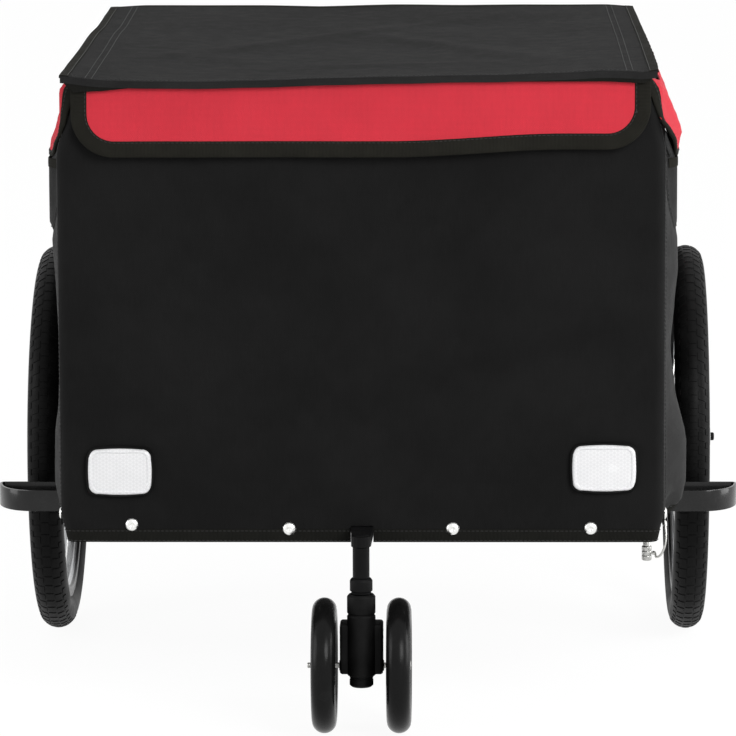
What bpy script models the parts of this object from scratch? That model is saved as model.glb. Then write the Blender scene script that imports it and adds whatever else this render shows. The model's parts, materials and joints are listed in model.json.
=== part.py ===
"""Child bike trailer with a boxy fabric body, two spoked wheels and a swivelling twin caster.

The front of the trailer faces -Y, its left side is at +X and +Z is up. The origin is on the
ground, under the middle of the overall box. All sizes are in metres.
"""

import math

import bmesh
import bpy
from mathutils import Vector

CLEARANCE = 0.0003  # running and seating gap between neighbours

# Body
BODY_LENGTH = 0.732
BODY_HALF_WIDTH = 0.288  # outer face of the side fabric
CORNER_RADIUS = 0.0105  # fabric corner between the front and the sides
FABRIC = 0.002
HEM_DROP = 0.019  # the front and rear fabric ends this far under the base tubes' centres
SIDE_HEM_DROP = 0.004
SIDE_TOP_DROP = 0.0087  # the side fabric ends this far under the middle of the hoop

# Base frame
TUBE_RADIUS = 0.0127
TUBE_WALL = 0.002
BASE_DROP = 0.004  # the base tubes lie this far under the axle
SOCKET_RADIUS = 0.0125  # sleeves on the rails that take the hoops
SOCKET_HEIGHT = 0.050
FLOOR_THICKNESS = 0.005
FLOOR_INSET = 0.033
FLOOR_SETBACK = 0.0045

# Hoops and roof bars
HOOP_RADIUS = 0.0095
HOOP_WALL = 0.0015
HOOP_BEND = 0.022
HOOP_RISE = 0.4107  # from the base tubes' centres to the hoop's top run
BAR_RADIUS = 0.008

# Roof
ROOF_INSET = 0.0025
ROOF_OVERHANG = 0.008
ROOF_REAR_LIP = 0.001
ROOF_THICKNESS = 0.0025
ROOF_EDGE_SAG = 0.0035
ROOF_SAG = 0.007
ROOF_CORNER_LIFT = 0.003
VALANCE_INSET = 0.0155
VALANCE_DROP = 0.067
VALANCE_RADIUS = 0.033
VALANCE_STANDOFF = 0.0015
VALANCE_FLARE = 0.006
SIDE_VALANCE_FLARE = 0.0145
SIDE_VALANCE_INSET = 0.012
SIDE_FLARE_RUN = 0.200  # the flap swings out over this length behind its front corner
SIDE_FLARE_FADE = 0.300
SIDE_FLARE_REST = 0.3  # share of the flare that is left at the rear corner
SIDE_HANG = 0.16  # share of the drop over which the flap clears the side fabric

# Side pockets
POCKET_LENGTH = 0.300
POCKET_SETBACK = 0.060
POCKET_DROP = 0.0657  # its top lies this far under the hoop's top run
POCKET_HEIGHT = 0.072
POCKET_DEPTH = 0.0145
POCKET_EDGE = 0.004

# Main wheels
WHEEL_RADIUS = 0.200
WHEEL_STANDOFF = 0.0395  # from the side fabric to the wheel's middle plane
TYRE_WIDTH = 0.036
AXLE_BEHIND_FRONT = 0.470
RIM_OUTER = 0.168
RIM_INNER = 0.153
RIM_WIDTH = 0.026
RIM_LIP = 0.004
RIM_BED_HALF = 0.007
HUB_RADIUS = 0.015
HUB_FLANGE_RADIUS = 0.024
HUB_FLANGE = 0.003
HUB_LENGTH = 0.044
HUB_END = 0.004  # the flanges sit this far in from the hub's ends
HUB_END_RADIUS = 0.0105
SPOKE_RADIUS = 0.0012
SPOKE_OFFSET = 0.003  # at the rim, from the wheel's middle plane
SPOKES_PER_FLANGE = 10
SPOKE_SWEEP = math.radians(32)
AXLE_RADIUS = 0.006
AXLE_HOLE_RADIUS = 0.0064
AXLE_REACH = 0.070  # length held inside the axle beam
AXLE_FLANGE_RADIUS = 0.011
AXLE_FLANGE = 0.004
AXLE_TAPER = 0.0015
BOSS_RADIUS = 0.011
BOSS_ROOM = 0.002
BUTTON_RADIUS = 0.0042
BUTTON_LENGTH = 0.012
BUTTON_PROUD = 0.004
BUTTON_ROOM = 0.005
EDGE_BREAK = 0.001

# Wheel guards, the bent strips ahead of the wheels
GUARD_REACH = 0.082  # outwards from the side fabric
GUARD_AHEAD = 0.262
GUARD_DEPTH = 0.050
GUARD_DROP = 0.0066  # its top lies this far under the base tubes' centres
GUARD_HEIGHT = 0.021
GUARD_STRIP = 0.003
GUARD_CURVE = 0.034
GUARD_CORNER = 0.004

# Caster
STEM_AHEAD = 0.047  # stem axis ahead of the front fabric
CASTER_TRAIL = 0.012
CASTER_RADIUS = 0.0645
CASTER_WIDTH = 0.0234
CASTER_SPACING = 0.071
CASTER_RIM_RADIUS = 0.044
CASTER_HUB_WIDTH = 0.0225
CASTER_CORE_WIDTH = 0.016  # the hub's middle, between bolt head and nut
CASTER_SEAT_WIDTH = 0.0165
CASTER_HUB_CORE = 0.012
CASTER_HUB_RIM = 0.006
CASTER_HUB_DISH = 0.005
CASTER_AXLE_RADIUS = 0.0027
CASTER_NUT_RADIUS = 0.0055
CASTER_NUT = 0.003
CASTER_THREAD = 0.005  # length of thread that stands out past the nut
ARM_WIDTH = 0.021
ARM_HEIGHT = 0.010
ARM_DROP = 0.009  # its middle lies this far under the base tubes' centres
ARM_NOSE_RADIUS = 0.0094
ARM_NOTCH = 0.001
STEM_RADIUS = 0.008
STEM_WELD_RADIUS = 0.0088
STEM_WELD = 0.0012
STEM_LOWER_RADIUS = 0.005
COLLAR_RADIUS = 0.0108
COLLAR_TOP_Z = 0.1515
SLEEVE_RADIUS = 0.0135
SLEEVE_TOP_Z = 0.1361
BLOCK_TOP_Z = 0.1071
BLOCK_LOW_Z = 0.0587
BLOCK_WIDTH = 0.041
BLOCK_TAIL = 0.012
BLOCK_NOSE = 0.004
CAP_RADIUS = 0.0113
CAP_LOW_Z = 0.0468
CAP_FLOOR = 0.006
CASE_LIP = 0.001  # the round case ends this far under the block

# Tow bar lock pin and its tether
PIN_BEHIND_FRONT = 0.045
PIN_RADIUS = 0.0037
PIN_HOLE_RADIUS = 0.0041
PIN_HEAD_RADIUS = 0.0048
PIN_HEAD = 0.0145
PIN_PROUD = 0.002
PIN_HEAD_GAP = 0.018  # the head hangs this far under the rail
TETHER_RADIUS = 0.0011

# Reflectors and snaps
REFLECTOR_WIDTH = 0.061
REFLECTOR_HEIGHT = 0.045
REFLECTOR_THICKNESS = 0.006
REFLECTOR_BULGE = 0.002
REFLECTOR_CORNER = 0.009
REFLECTOR_INSET = 0.0575
REFLECTOR_RISES = {"left": 0.0722, "right": 0.0688}  # above the hem
SNAP_RADIUS = 0.0065
SNAP_HEIGHT = 0.0035
SNAP_RISES = (0.017, 0.013, 0.013, 0.0135)  # above the hem
SNAP_OUTER_INSETS = (0.0683, 0.070)
SNAP_MIDDLE_X = (-0.0695, 0.0865)
SIDE_SNAP_RISE = 0.007
SIDE_SNAP_BEHIND = 0.034

# Places that follow from the sizes above
AXLE_Z = WHEEL_RADIUS
BASE_Z = AXLE_Z - BASE_DROP
HEM_Z = BASE_Z - HEM_DROP
SIDE_HEM_Z = BASE_Z - SIDE_HEM_DROP
HOOP_TOP_Z = BASE_Z + HOOP_RISE
POCKET_TOP_Z = HOOP_TOP_Z - POCKET_DROP
POCKET_LOW_Z = POCKET_TOP_Z - POCKET_HEIGHT
GUARD_TOP_Z = BASE_Z - GUARD_DROP
ARM_TOP_Z = BASE_Z - ARM_DROP + ARM_HEIGHT / 2
GUARD_HALF_SPAN = BODY_HALF_WIDTH + GUARD_REACH
REFLECTOR_X = BODY_HALF_WIDTH - REFLECTOR_INSET
REFLECTOR_TOP_Z = HEM_Z + max(REFLECTOR_RISES.values())
SIDE_SNAP_Z = SIDE_HEM_Z + SIDE_SNAP_RISE
FLOOR_HALF_WIDTH = BODY_HALF_WIDTH - FLOOR_INSET
ROOF_HALF_WIDTH = BODY_HALF_WIDTH - ROOF_INSET
VALANCE_HALF_WIDTH = BODY_HALF_WIDTH - VALANCE_INSET
CASTER_FRONT = STEM_AHEAD - CASTER_TRAIL + CASTER_RADIUS
REAR_REACH = VALANCE_STANDOFF + FABRIC + VALANCE_FLARE
BODY_FRONT = -(BODY_LENGTH + REAR_REACH - CASTER_FRONT) / 2
BODY_REAR = BODY_FRONT + BODY_LENGTH
AXLE_Y = BODY_FRONT + AXLE_BEHIND_FRONT
FABRIC_INSIDE = FABRIC + CLEARANCE
RAIL_X = BODY_HALF_WIDTH - FABRIC_INSIDE - TUBE_RADIUS
CROSS_FRONT_Y = BODY_FRONT + FABRIC_INSIDE + TUBE_RADIUS
CROSS_REAR_Y = BODY_REAR - FABRIC_INSIDE - TUBE_RADIUS
HOOP_FRONT_Y = BODY_FRONT + FABRIC_INSIDE + SOCKET_RADIUS
HOOP_REAR_Y = BODY_REAR - FABRIC_INSIDE - SOCKET_RADIUS
RAIL_FRONT_Y = BODY_FRONT + CORNER_RADIUS + 2 * CLEARANCE
RAIL_REAR_Y = BODY_REAR - CORNER_RADIUS - 2 * CLEARANCE
RAIL_TOP_Z = BASE_Z + TUBE_RADIUS
RAIL_LOW_Z = BASE_Z - TUBE_RADIUS
BEAM_RADIUS = RAIL_TOP_Z - AXLE_Z
ROOF_SEAT_Z = HOOP_TOP_Z + HOOP_RADIUS + CLEARANCE
END_TOP_Z = ROOF_SEAT_Z - ROOF_EDGE_SAG - ROOF_SAG / 4 - 2 * CLEARANCE
SIDE_TOP_Z = HOOP_TOP_Z - SIDE_TOP_DROP
ROOF_FRONT_Y = BODY_FRONT - ROOF_OVERHANG
ROOF_REAR_Y = BODY_REAR + ROOF_REAR_LIP
WHEEL_X = BODY_HALF_WIDTH + WHEEL_STANDOFF
STEM_Y = BODY_FRONT - STEM_AHEAD
CASTER_AXLE_Y = STEM_Y + CASTER_TRAIL
PIN_Y = BODY_FRONT + PIN_BEHIND_FRONT
PIN_HEAD_TOP_Z = RAIL_LOW_Z - PIN_HEAD_GAP
WHEEL_FACETS = 36
LEFT = 1
RIGHT = -1
SIDE_NAMES = {LEFT: "left", RIGHT: "right"}

# Folds of the cloth: place along the panel, height over the base, half length, half width, turn, rise
FRONT_FOLDS = (
    (0.195, 0.192, 0.110, 0.020, math.radians(22), 0.005),
    (0.175, 0.156, 0.120, 0.026, math.radians(20), -0.006),
    (-0.175, 0.100, 0.035, 0.010, math.radians(-32), 0.003),
    (-0.080, 0.134, 0.140, 0.045, math.radians(-55), -0.004),
    (0.020, 0.054, 0.090, 0.050, math.radians(8), -0.005),
    (-0.020, 0.254, 0.200, 0.050, math.radians(12), -0.003),
)
REAR_FOLDS = (
    (-0.120, 0.184, 0.140, 0.024, math.radians(28), 0.005),
    (0.150, 0.104, 0.110, 0.030, math.radians(-25), -0.005),
)
LEFT_FOLDS = (
    (-0.165, 0.208, 0.072, 0.040, 0.0, 0.024),
    (-0.165, 0.042, 0.078, 0.048, 0.0, 0.028),
    (0.160, 0.124, 0.120, 0.050, math.radians(20), 0.005),
)
RIGHT_FOLDS = (
    (-0.165, 0.204, 0.075, 0.045, 0.0, 0.012),
    (-0.165, 0.049, 0.080, 0.050, 0.0, 0.015),
    (0.150, 0.134, 0.120, 0.050, math.radians(-20), 0.005),
)
ROOF_FOLDS = (
    (-0.060, 0.050, 0.260, 0.020, math.radians(52), 0.0025),
    (0.090, -0.060, 0.220, 0.022, math.radians(-58), 0.0025),
    (0.120, 0.210, 0.100, 0.060, math.radians(10), -0.004),
)


def clear_scene():
    for obj in list(bpy.data.objects):
        bpy.data.objects.remove(obj)


def material(name, colour, roughness, metallic=0.0):
    made = bpy.data.materials.new(name)
    made.use_nodes = True
    shader = made.node_tree.nodes["Principled BSDF"]
    shader.inputs["Base Color"].default_value = (*colour, 1.0)
    shader.inputs["Roughness"].default_value = roughness
    shader.inputs["Metallic"].default_value = metallic
    return made


def finish(name, mesh_builder, finish_material, pivot=None, at=(0, 0, 0), smooth=True):
    """Turns a bmesh into a named object that hangs on a pivot empty."""
    bmesh.ops.recalc_face_normals(mesh_builder, faces=mesh_builder.faces)
    mesh = bpy.data.meshes.new(name)
    mesh_builder.to_mesh(mesh)
    mesh_builder.free()
    if smooth:
        mesh.shade_smooth()
        mesh.set_sharp_from_angle(angle=math.radians(35))
    mesh.materials.append(finish_material)
    obj = bpy.data.objects.new(name, mesh)
    bpy.context.scene.collection.objects.link(obj)
    obj.location = at
    obj.parent = pivot
    return obj


def pivot_empty(name, at, parent=None):
    empty = bpy.data.objects.new(name, None)
    bpy.context.scene.collection.objects.link(empty)
    empty.empty_display_size = 0.03
    empty.location = at
    empty.parent = parent
    return empty


def guide(obj):
    """Marks an object as a cutter or a piece that is only joined into another."""
    obj.hide_render = True
    obj.display_type = "WIRE"
    return obj


def combine(target, tool, operation):
    boolean = target.modifiers.new(tool.name, "BOOLEAN")
    boolean.operation = operation
    boolean.solver = "EXACT"
    boolean.object = guide(tool)


def axes_for(direction):
    """Two unit vectors square to a direction, for rings round it."""
    along = Vector(direction).normalized()
    helper = Vector((0, 0, 1)) if abs(along.z) < 0.9 else Vector((1, 0, 0))
    first = helper.cross(along).normalized()
    return along, first, along.cross(first)


def turned(profile, direction, steps, closed=False, start=0.0):
    """A profile of (radius, place along the axis) points turned about the origin."""
    along, first, second = axes_for(direction)
    builder = bmesh.new()
    rings = []
    for radius, place in profile:
        if radius == 0:
            rings.append([builder.verts.new(along * place)])
            continue
        ring = []
        for step in range(steps):
            angle = start + 2 * math.pi * step / steps
            spoke = first * math.cos(angle) + second * math.sin(angle)
            ring.append(builder.verts.new(along * place + spoke * radius))
        rings.append(ring)
    pairs = list(zip(rings, rings[1:]))
    if closed:
        pairs.append((rings[-1], rings[0]))
    for low, high in pairs:
        for step in range(steps):
            after = (step + 1) % steps
            corners = []
            for corner in (low[step % len(low)], low[after % len(low)],
                           high[after % len(high)], high[step % len(high)]):
                if corner not in corners:
                    corners.append(corner)
            builder.faces.new(corners)
    return builder


def rod_profile(radius, low, high, edge=0.0005):
    """Profile of a solid round bar with small edge breaks."""
    return [(0, low), (radius - edge, low), (radius, low + edge),
            (radius, high - edge), (radius - edge, high), (0, high)]


def pipe_profile(outer, inner, low, high):
    return [(inner, low), (outer, low), (outer, high), (inner, high)]


def cylinder_guide(name, radius, start, end, steps=20):
    """A plain round cutter or boss between two points, its facets turned off the tubes' own."""
    start, end = Vector(start), Vector(end)
    length = (end - start).length
    profile = [(0, 0), (radius, 0), (radius, length), (0, length)]
    builder = turned(profile, end - start, steps, start=0.07)
    return guide(finish(name, builder, MATERIALS["steel"], at=start, smooth=False))


def box(size, centre=(0, 0, 0), bevel=0.0, segments=2):
    builder = bmesh.new()
    bmesh.ops.create_cube(builder, size=1.0)
    for vert in builder.verts:
        vert.co = Vector(centre) + Vector(size) * vert.co
    if bevel:
        bmesh.ops.bevel(builder, geom=list(builder.edges), offset=bevel,
                        segments=segments, profile=0.5, affect="EDGES")
    return builder


def swept_pipe(points, outer, inner, steps):
    """A hollow tube along points that all lie in one plane of constant X."""
    points = [Vector(point) for point in points]
    builder = bmesh.new()
    side = Vector((1, 0, 0))
    stations = []
    for index, point in enumerate(points):
        before = points[max(index - 1, 0)]
        after = points[min(index + 1, len(points) - 1)]
        tangent = (after - before).normalized()
        across = side.cross(tangent)
        rings = []
        for radius in (outer, inner):
            ring = []
            for step in range(steps):
                angle = 2 * math.pi * step / steps
                offset = side * math.cos(angle) + across * math.sin(angle)
                ring.append(builder.verts.new(point + offset * radius))
            rings.append(ring)
        stations.append(rings)
    for first, second in zip(stations, stations[1:]):
        for wall in (0, 1):
            for step in range(steps):
                after = (step + 1) % steps
                builder.faces.new((first[wall][step], first[wall][after],
                                   second[wall][after], second[wall][step]))
    for outer_ring, inner_ring in (stations[0], stations[-1]):
        for step in range(steps):
            after = (step + 1) % steps
            builder.faces.new((outer_ring[step], outer_ring[after],
                               inner_ring[after], inner_ring[step]))
    return builder


def sheet(outer, inner):
    """A closed cloth solid between two grids of points, row by row."""
    builder = bmesh.new()
    rows, columns = len(outer), len(outer[0])
    skins = []
    for grid in (outer, inner):
        skins.append([[builder.verts.new(point) for point in row] for row in grid])
    for skin in skins:
        for row in range(rows - 1):
            for column in range(columns - 1):
                builder.faces.new((skin[row][column], skin[row][column + 1],
                                   skin[row + 1][column + 1], skin[row + 1][column]))
    rim = [(0, column) for column in range(columns)]
    rim += [(row, columns - 1) for row in range(1, rows)]
    rim += [(rows - 1, column) for column in range(columns - 2, -1, -1)]
    rim += [(row, 0) for row in range(rows - 2, 0, -1)]
    for here, there in zip(rim, rim[1:] + rim[:1]):
        builder.faces.new((skins[0][here[0]][here[1]], skins[0][there[0]][there[1]],
                           skins[1][there[0]][there[1]], skins[1][here[0]][here[1]]))
    return builder


def spread(low, high, count):
    return [low + (high - low) * index / (count - 1) for index in range(count)]


def smooth_step(low, high, value):
    share = min(max((value - low) / (high - low), 0.0), 1.0)
    return share * share * (3 - 2 * share)


def cloth_rise(folds, along, height):
    """How far the cloth stands off its plane, from its folds."""
    rise = 0.0
    for place, level, half_length, half_width, turn, amount in folds:
        across = along - place
        up = height - level
        run = across * math.cos(turn) + up * math.sin(turn)
        side = up * math.cos(turn) - across * math.sin(turn)
        rise += amount * math.exp(-((run / half_length) ** 2) - (side / half_width) ** 2)
    return rise


def rounded_columns(half_width, radius, flat_steps, arc_steps):
    """Places across a flap, closer together where its lower corners turn."""
    arc = [radius * (1 - math.cos(math.pi / 2 * step / arc_steps)) for step in range(arc_steps)]
    left = [-half_width + value for value in arc]
    flat = spread(-half_width + radius, half_width - radius, flat_steps)
    right = [half_width - value for value in reversed(arc)]
    return left + flat + right


def rounded_lower_edge(place, half_width, radius):
    """How much higher than its lowest line a flap with round corners ends here."""
    past = abs(place) - (half_width - radius)
    if past <= 0:
        return 0.0
    return radius - math.sqrt(max(radius ** 2 - past ** 2, 0.0))


def build_base_frame():
    steel = MATERIALS["steel"]
    inner = TUBE_RADIUS - TUBE_WALL
    cross_half = RAIL_X - TUBE_RADIUS - CLEARANCE
    for name, place in (("base_front_tube", CROSS_FRONT_Y), ("base_rear_tube", CROSS_REAR_Y)):
        profile = pipe_profile(TUBE_RADIUS, inner, -cross_half, cross_half)
        finish(name, turned(profile, (1, 0, 0), 20, closed=True), steel, at=(0, place, BASE_Z))
    profile = pipe_profile(BEAM_RADIUS, AXLE_HOLE_RADIUS, -cross_half, cross_half)
    finish("axle_beam", turned(profile, (1, 0, 0), 20, closed=True), steel,
           at=(0, AXLE_Y, AXLE_Z))
    for side, word in SIDE_NAMES.items():
        build_side_rail(side, word)
    floor_length = BODY_LENGTH - 2 * FLOOR_SETBACK
    floor_low = RAIL_TOP_Z + CLEARANCE
    size = (2 * FLOOR_HALF_WIDTH, floor_length, FLOOR_THICKNESS)
    centre = (0, (BODY_FRONT + BODY_REAR) / 2, floor_low + FLOOR_THICKNESS / 2)
    finish("floor_board", box(size, bevel=0.001, segments=1), MATERIALS["board"], at=centre,
           smooth=False)


def build_side_rail(side, word):
    """A base tube with sleeves for the hoop's feet, a hole for the axle and one for the pin."""
    length = RAIL_REAR_Y - RAIL_FRONT_Y
    rail_x = side * RAIL_X
    profile = [(0, 0), (TUBE_RADIUS, 0), (TUBE_RADIUS, length), (0, length)]
    rail = finish(f"{word}_base_rail", turned(profile, (0, 1, 0), 20), MATERIALS["steel"],
                  at=(rail_x, RAIL_FRONT_Y, BASE_Z))
    sleeve_foot = BASE_Z + TUBE_RADIUS - TUBE_WALL + CLEARANCE
    sleeve_top = RAIL_TOP_Z + SOCKET_HEIGHT
    sleeve_floor = RAIL_TOP_Z + CLEARANCE
    for end, place in (("front", HOOP_FRONT_Y), ("rear", HOOP_REAR_Y)):
        cup = [(0, sleeve_foot), (SOCKET_RADIUS, sleeve_foot), (SOCKET_RADIUS, sleeve_top),
               (HOOP_RADIUS + CLEARANCE, sleeve_top), (HOOP_RADIUS + CLEARANCE, sleeve_floor),
               (0, sleeve_floor)]
        sleeve = finish(f"{word}_{end}_sleeve", turned(cup, (0, 0, 1), 20, start=0.07),
                        MATERIALS["steel"], at=(rail_x, place, 0))
        combine(rail, sleeve, "UNION")
    bore = cylinder_guide(f"{word}_rail_bore", TUBE_RADIUS - TUBE_WALL,
                          (rail_x, RAIL_FRONT_Y - TUBE_RADIUS, BASE_Z),
                          (rail_x, RAIL_REAR_Y + TUBE_RADIUS, BASE_Z), steps=20)
    combine(rail, bore, "DIFFERENCE")
    axle_hole = cylinder_guide(f"{word}_rail_axle_hole", AXLE_HOLE_RADIUS,
                               (rail_x - 2 * TUBE_RADIUS, AXLE_Y, AXLE_Z),
                               (rail_x + 2 * TUBE_RADIUS, AXLE_Y, AXLE_Z), steps=16)
    combine(rail, axle_hole, "DIFFERENCE")
    if side == LEFT:
        pin_hole = cylinder_guide("rail_pin_hole", PIN_HOLE_RADIUS,
                                  (rail_x, PIN_Y, BASE_Z - 2 * TUBE_RADIUS),
                                  (rail_x, PIN_Y, BASE_Z + 2 * TUBE_RADIUS), steps=16)
        combine(rail, pin_hole, "DIFFERENCE")


def build_hoops():
    foot = RAIL_TOP_Z + 2 * CLEARANCE
    bend_z = HOOP_TOP_Z - HOOP_BEND
    bend_steps = 4
    path = [(HOOP_FRONT_Y, foot)]
    for step in range(bend_steps + 1):
        angle = math.pi / 2 * step / bend_steps
        path.append((HOOP_FRONT_Y + HOOP_BEND * (1 - math.cos(angle)),
                     bend_z + HOOP_BEND * math.sin(angle)))
    for step in range(bend_steps + 1):
        angle = math.pi / 2 * (1 - step / bend_steps)
        path.append((HOOP_REAR_Y - HOOP_BEND * (1 - math.cos(angle)),
                     bend_z + HOOP_BEND * math.sin(angle)))
    path.append((HOOP_REAR_Y, foot))
    for side, word in SIDE_NAMES.items():
        points = [(side * RAIL_X, place, height) for place, height in path]
        finish(f"{word}_side_hoop", swept_pipe(points, HOOP_RADIUS, HOOP_RADIUS - HOOP_WALL, 12),
               MATERIALS["steel"])
    bar_half = RAIL_X - HOOP_RADIUS - CLEARANCE
    diagonal = HOOP_BEND * (1 - math.cos(math.pi / 4))
    profile = pipe_profile(BAR_RADIUS, BAR_RADIUS - HOOP_WALL, -bar_half, bar_half)
    for name, place in (("front_roof_bar", HOOP_FRONT_Y + diagonal),
                        ("rear_roof_bar", HOOP_REAR_Y - diagonal)):
        finish(name, turned(profile, (1, 0, 0), 16, closed=True), MATERIALS["steel"],
               at=(0, place, HOOP_TOP_Z - diagonal))


def end_panel_path(columns, arc_steps):
    """Places and outward directions across an end panel, round both of its corners."""
    flat_half = BODY_HALF_WIDTH - CORNER_RADIUS
    stations = []
    for step in range(arc_steps):
        angle = math.pi / 2 * (1 - step / arc_steps)
        stations.append((-flat_half - CORNER_RADIUS * math.sin(angle),
                         CORNER_RADIUS * (1 - math.cos(angle)), -math.sin(angle), -math.cos(angle)))
    for place in spread(-flat_half, flat_half, columns):
        stations.append((place, 0.0, 0.0, -1.0))
    for step in range(1, arc_steps + 1):
        angle = math.pi / 2 * step / arc_steps
        stations.append((flat_half + CORNER_RADIUS * math.sin(angle),
                         CORNER_RADIUS * (1 - math.cos(angle)), math.sin(angle), -math.cos(angle)))
    return stations


def build_end_panel(name, face_y, inward, folds):
    """The front or rear cloth; inward is +1 where the body lies towards +Y."""
    flat_half = BODY_HALF_WIDTH - CORNER_RADIUS
    outer, inner = [], []
    for height in spread(HEM_Z, END_TOP_Z, 13):
        calm = smooth_step(REFLECTOR_TOP_Z + 0.02, REFLECTOR_TOP_Z + 0.10, height)
        calm *= 1 - smooth_step(END_TOP_Z - 0.08, END_TOP_Z - 0.01, height)
        outer_row, inner_row = [], []
        for across, depth, normal_x, normal_y in end_panel_path(15, 2):
            edge = 1 - smooth_step(flat_half - 0.05, flat_half, abs(across))
            rise = cloth_rise(folds, across, height - BASE_Z) * calm * edge
            normal = Vector((normal_x, inward * normal_y, 0))
            outside = Vector((across, face_y + inward * depth, height)) + normal * rise
            inside = outside - FABRIC * normal
            outer_row.append(outside)
            inner_row.append(inside)
        outer.append(outer_row)
        inner.append(inner_row)
    return finish(name, sheet(outer, inner), MATERIALS["black_cloth"])


def side_face(side, along, height):
    """Distance of the side cloth's outer face from the middle plane."""
    middle = (BODY_FRONT + BODY_REAR) / 2
    half = BODY_LENGTH / 2
    folds = LEFT_FOLDS if side == LEFT else RIGHT_FOLDS
    snap_edge = half - SIDE_SNAP_BEHIND - SNAP_RADIUS
    rise = cloth_rise(folds, along - middle, height - BASE_Z)
    rise *= 1 - smooth_step(snap_edge - 0.045, snap_edge, abs(along - middle))
    rise *= smooth_step(SIDE_HEM_Z + 0.002, SIDE_HEM_Z + 0.035, height)
    rise *= 1 - smooth_step(POCKET_LOW_Z - 0.045, POCKET_LOW_Z, height)
    return BODY_HALF_WIDTH + rise


def build_side_panel(side, word):
    reach = CORNER_RADIUS + CLEARANCE
    places = spread(BODY_FRONT + reach, BODY_REAR - reach, 21)
    outer, inner = [], []
    heights = spread(SIDE_HEM_Z, POCKET_LOW_Z, 10) + spread(POCKET_LOW_Z, SIDE_TOP_Z, 3)[1:]
    for height in heights:
        row = [Vector((side * side_face(side, place, height), place, height)) for place in places]
        outer.append(row)
        inner.append([point - Vector((side * FABRIC, 0, 0)) for point in row])
    panel = finish(f"{word}_side_panel", sheet(outer, inner), MATERIALS["black_cloth"])
    half = BOSS_RADIUS + BOSS_ROOM
    notch_top = AXLE_Z + half
    notch_low = SIDE_HEM_Z - half
    size = (8 * FABRIC, 2 * half, notch_top - notch_low)
    centre = (side * (BODY_HALF_WIDTH - FABRIC / 2), AXLE_Y, (notch_top + notch_low) / 2)
    notch = finish(f"{word}_axle_notch", box(size), MATERIALS["black_cloth"], at=centre, smooth=False)
    combine(panel, notch, "DIFFERENCE")


def build_body_cloth():
    front = build_end_panel("front_panel", BODY_FRONT, 1, FRONT_FOLDS)
    notch_low = HEM_Z - ARM_HEIGHT
    size = (ARM_WIDTH + 2 * ARM_NOTCH, 8 * FABRIC, ARM_TOP_Z + ARM_NOTCH - notch_low)
    centre = (0, BODY_FRONT + FABRIC / 2, notch_low + size[2] / 2)
    notch = finish("arm_notch", box(size), MATERIALS["black_cloth"], at=centre, smooth=False)
    combine(front, notch, "DIFFERENCE")
    build_end_panel("rear_panel", BODY_REAR, -1, REAR_FOLDS)
    for side, word in SIDE_NAMES.items():
        build_side_panel(side, word)
        build_pocket(side, word)


def build_pocket(side, word):
    """A flat bellows pocket on the side cloth, with softened edges."""
    start = BODY_FRONT + POCKET_SETBACK
    places = [start, start + POCKET_EDGE]
    places += spread(start + 2.5 * POCKET_EDGE, start + POCKET_LENGTH - 2.5 * POCKET_EDGE, 5)
    places += [start + POCKET_LENGTH - POCKET_EDGE, start + POCKET_LENGTH]
    heights = [POCKET_LOW_Z, POCKET_LOW_Z + POCKET_EDGE]
    heights += spread(POCKET_LOW_Z + 2.5 * POCKET_EDGE, POCKET_TOP_Z - 2.5 * POCKET_EDGE, 3)
    heights += [POCKET_TOP_Z - POCKET_EDGE, POCKET_TOP_Z]
    outer, inner = [], []
    for height in heights:
        outer_row, inner_row = [], []
        for place in places:
            base = side_face(side, place, height) + CLEARANCE
            from_edge = min(place - start, start + POCKET_LENGTH - place,
                            height - POCKET_LOW_Z, POCKET_TOP_Z - height)
            full = smooth_step(-POCKET_EDGE, 2 * POCKET_EDGE, from_edge)
            outside = base + (BODY_HALF_WIDTH + POCKET_DEPTH - base) * full
            outer_row.append(Vector((side * outside, place, height)))
            inner_row.append(Vector((side * base, place, height)))
        outer.append(outer_row)
        inner.append(inner_row)
    finish(f"{word}_side_pocket", sheet(outer, inner), MATERIALS["black_cloth"])


def roof_height(across, along):
    """Upper face of the roof cloth: seated on the hoops, sagging between them."""
    middle = (ROOF_FRONT_Y + ROOF_REAR_Y) / 2
    half_length = (ROOF_REAR_Y - ROOF_FRONT_Y) / 2
    span = RAIL_X - HOOP_RADIUS
    side = max(1 - (across / span) ** 2, 0.0)
    length = max(1 - ((along - middle) / half_length) ** 2, 0.0)
    rise = -ROOF_EDGE_SAG * side ** 0.5 - ROOF_SAG * side * length ** 0.6
    rise += cloth_rise(ROOF_FOLDS, across, along - middle) * side * length ** 0.5
    corner = math.hypot(abs(across) - ROOF_HALF_WIDTH, along - ROOF_FRONT_Y)
    rise += ROOF_CORNER_LIFT * math.exp(-((corner / 0.03) ** 2))
    return ROOF_SEAT_Z + ROOF_THICKNESS + rise


def build_roof(pivot):
    origin = pivot.location
    span = RAIL_X - HOOP_RADIUS
    across_places = [-ROOF_HALF_WIDTH, -RAIL_X] + spread(-span, span, 11) + [RAIL_X, ROOF_HALF_WIDTH]
    upper, lower = [], []
    for along in spread(ROOF_FRONT_Y, ROOF_REAR_Y, 13):
        upper_row, lower_row = [], []
        for across in across_places:
            top = Vector((across, along, roof_height(across, along))) - origin
            upper_row.append(top)
            lower_row.append(top - Vector((0, 0, ROOF_THICKNESS)))
        upper.append(upper_row)
        lower.append(lower_row)
    finish("roof_panel", sheet(upper, lower), MATERIALS["black_cloth"], pivot)
    build_end_valance("front_valance", BODY_FRONT - VALANCE_STANDOFF, -1, origin, pivot)
    build_end_valance("rear_valance", BODY_REAR + VALANCE_STANDOFF, 1, Vector(), None)
    for side, word in SIDE_NAMES.items():
        build_side_valance(side, word, origin, pivot)


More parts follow.
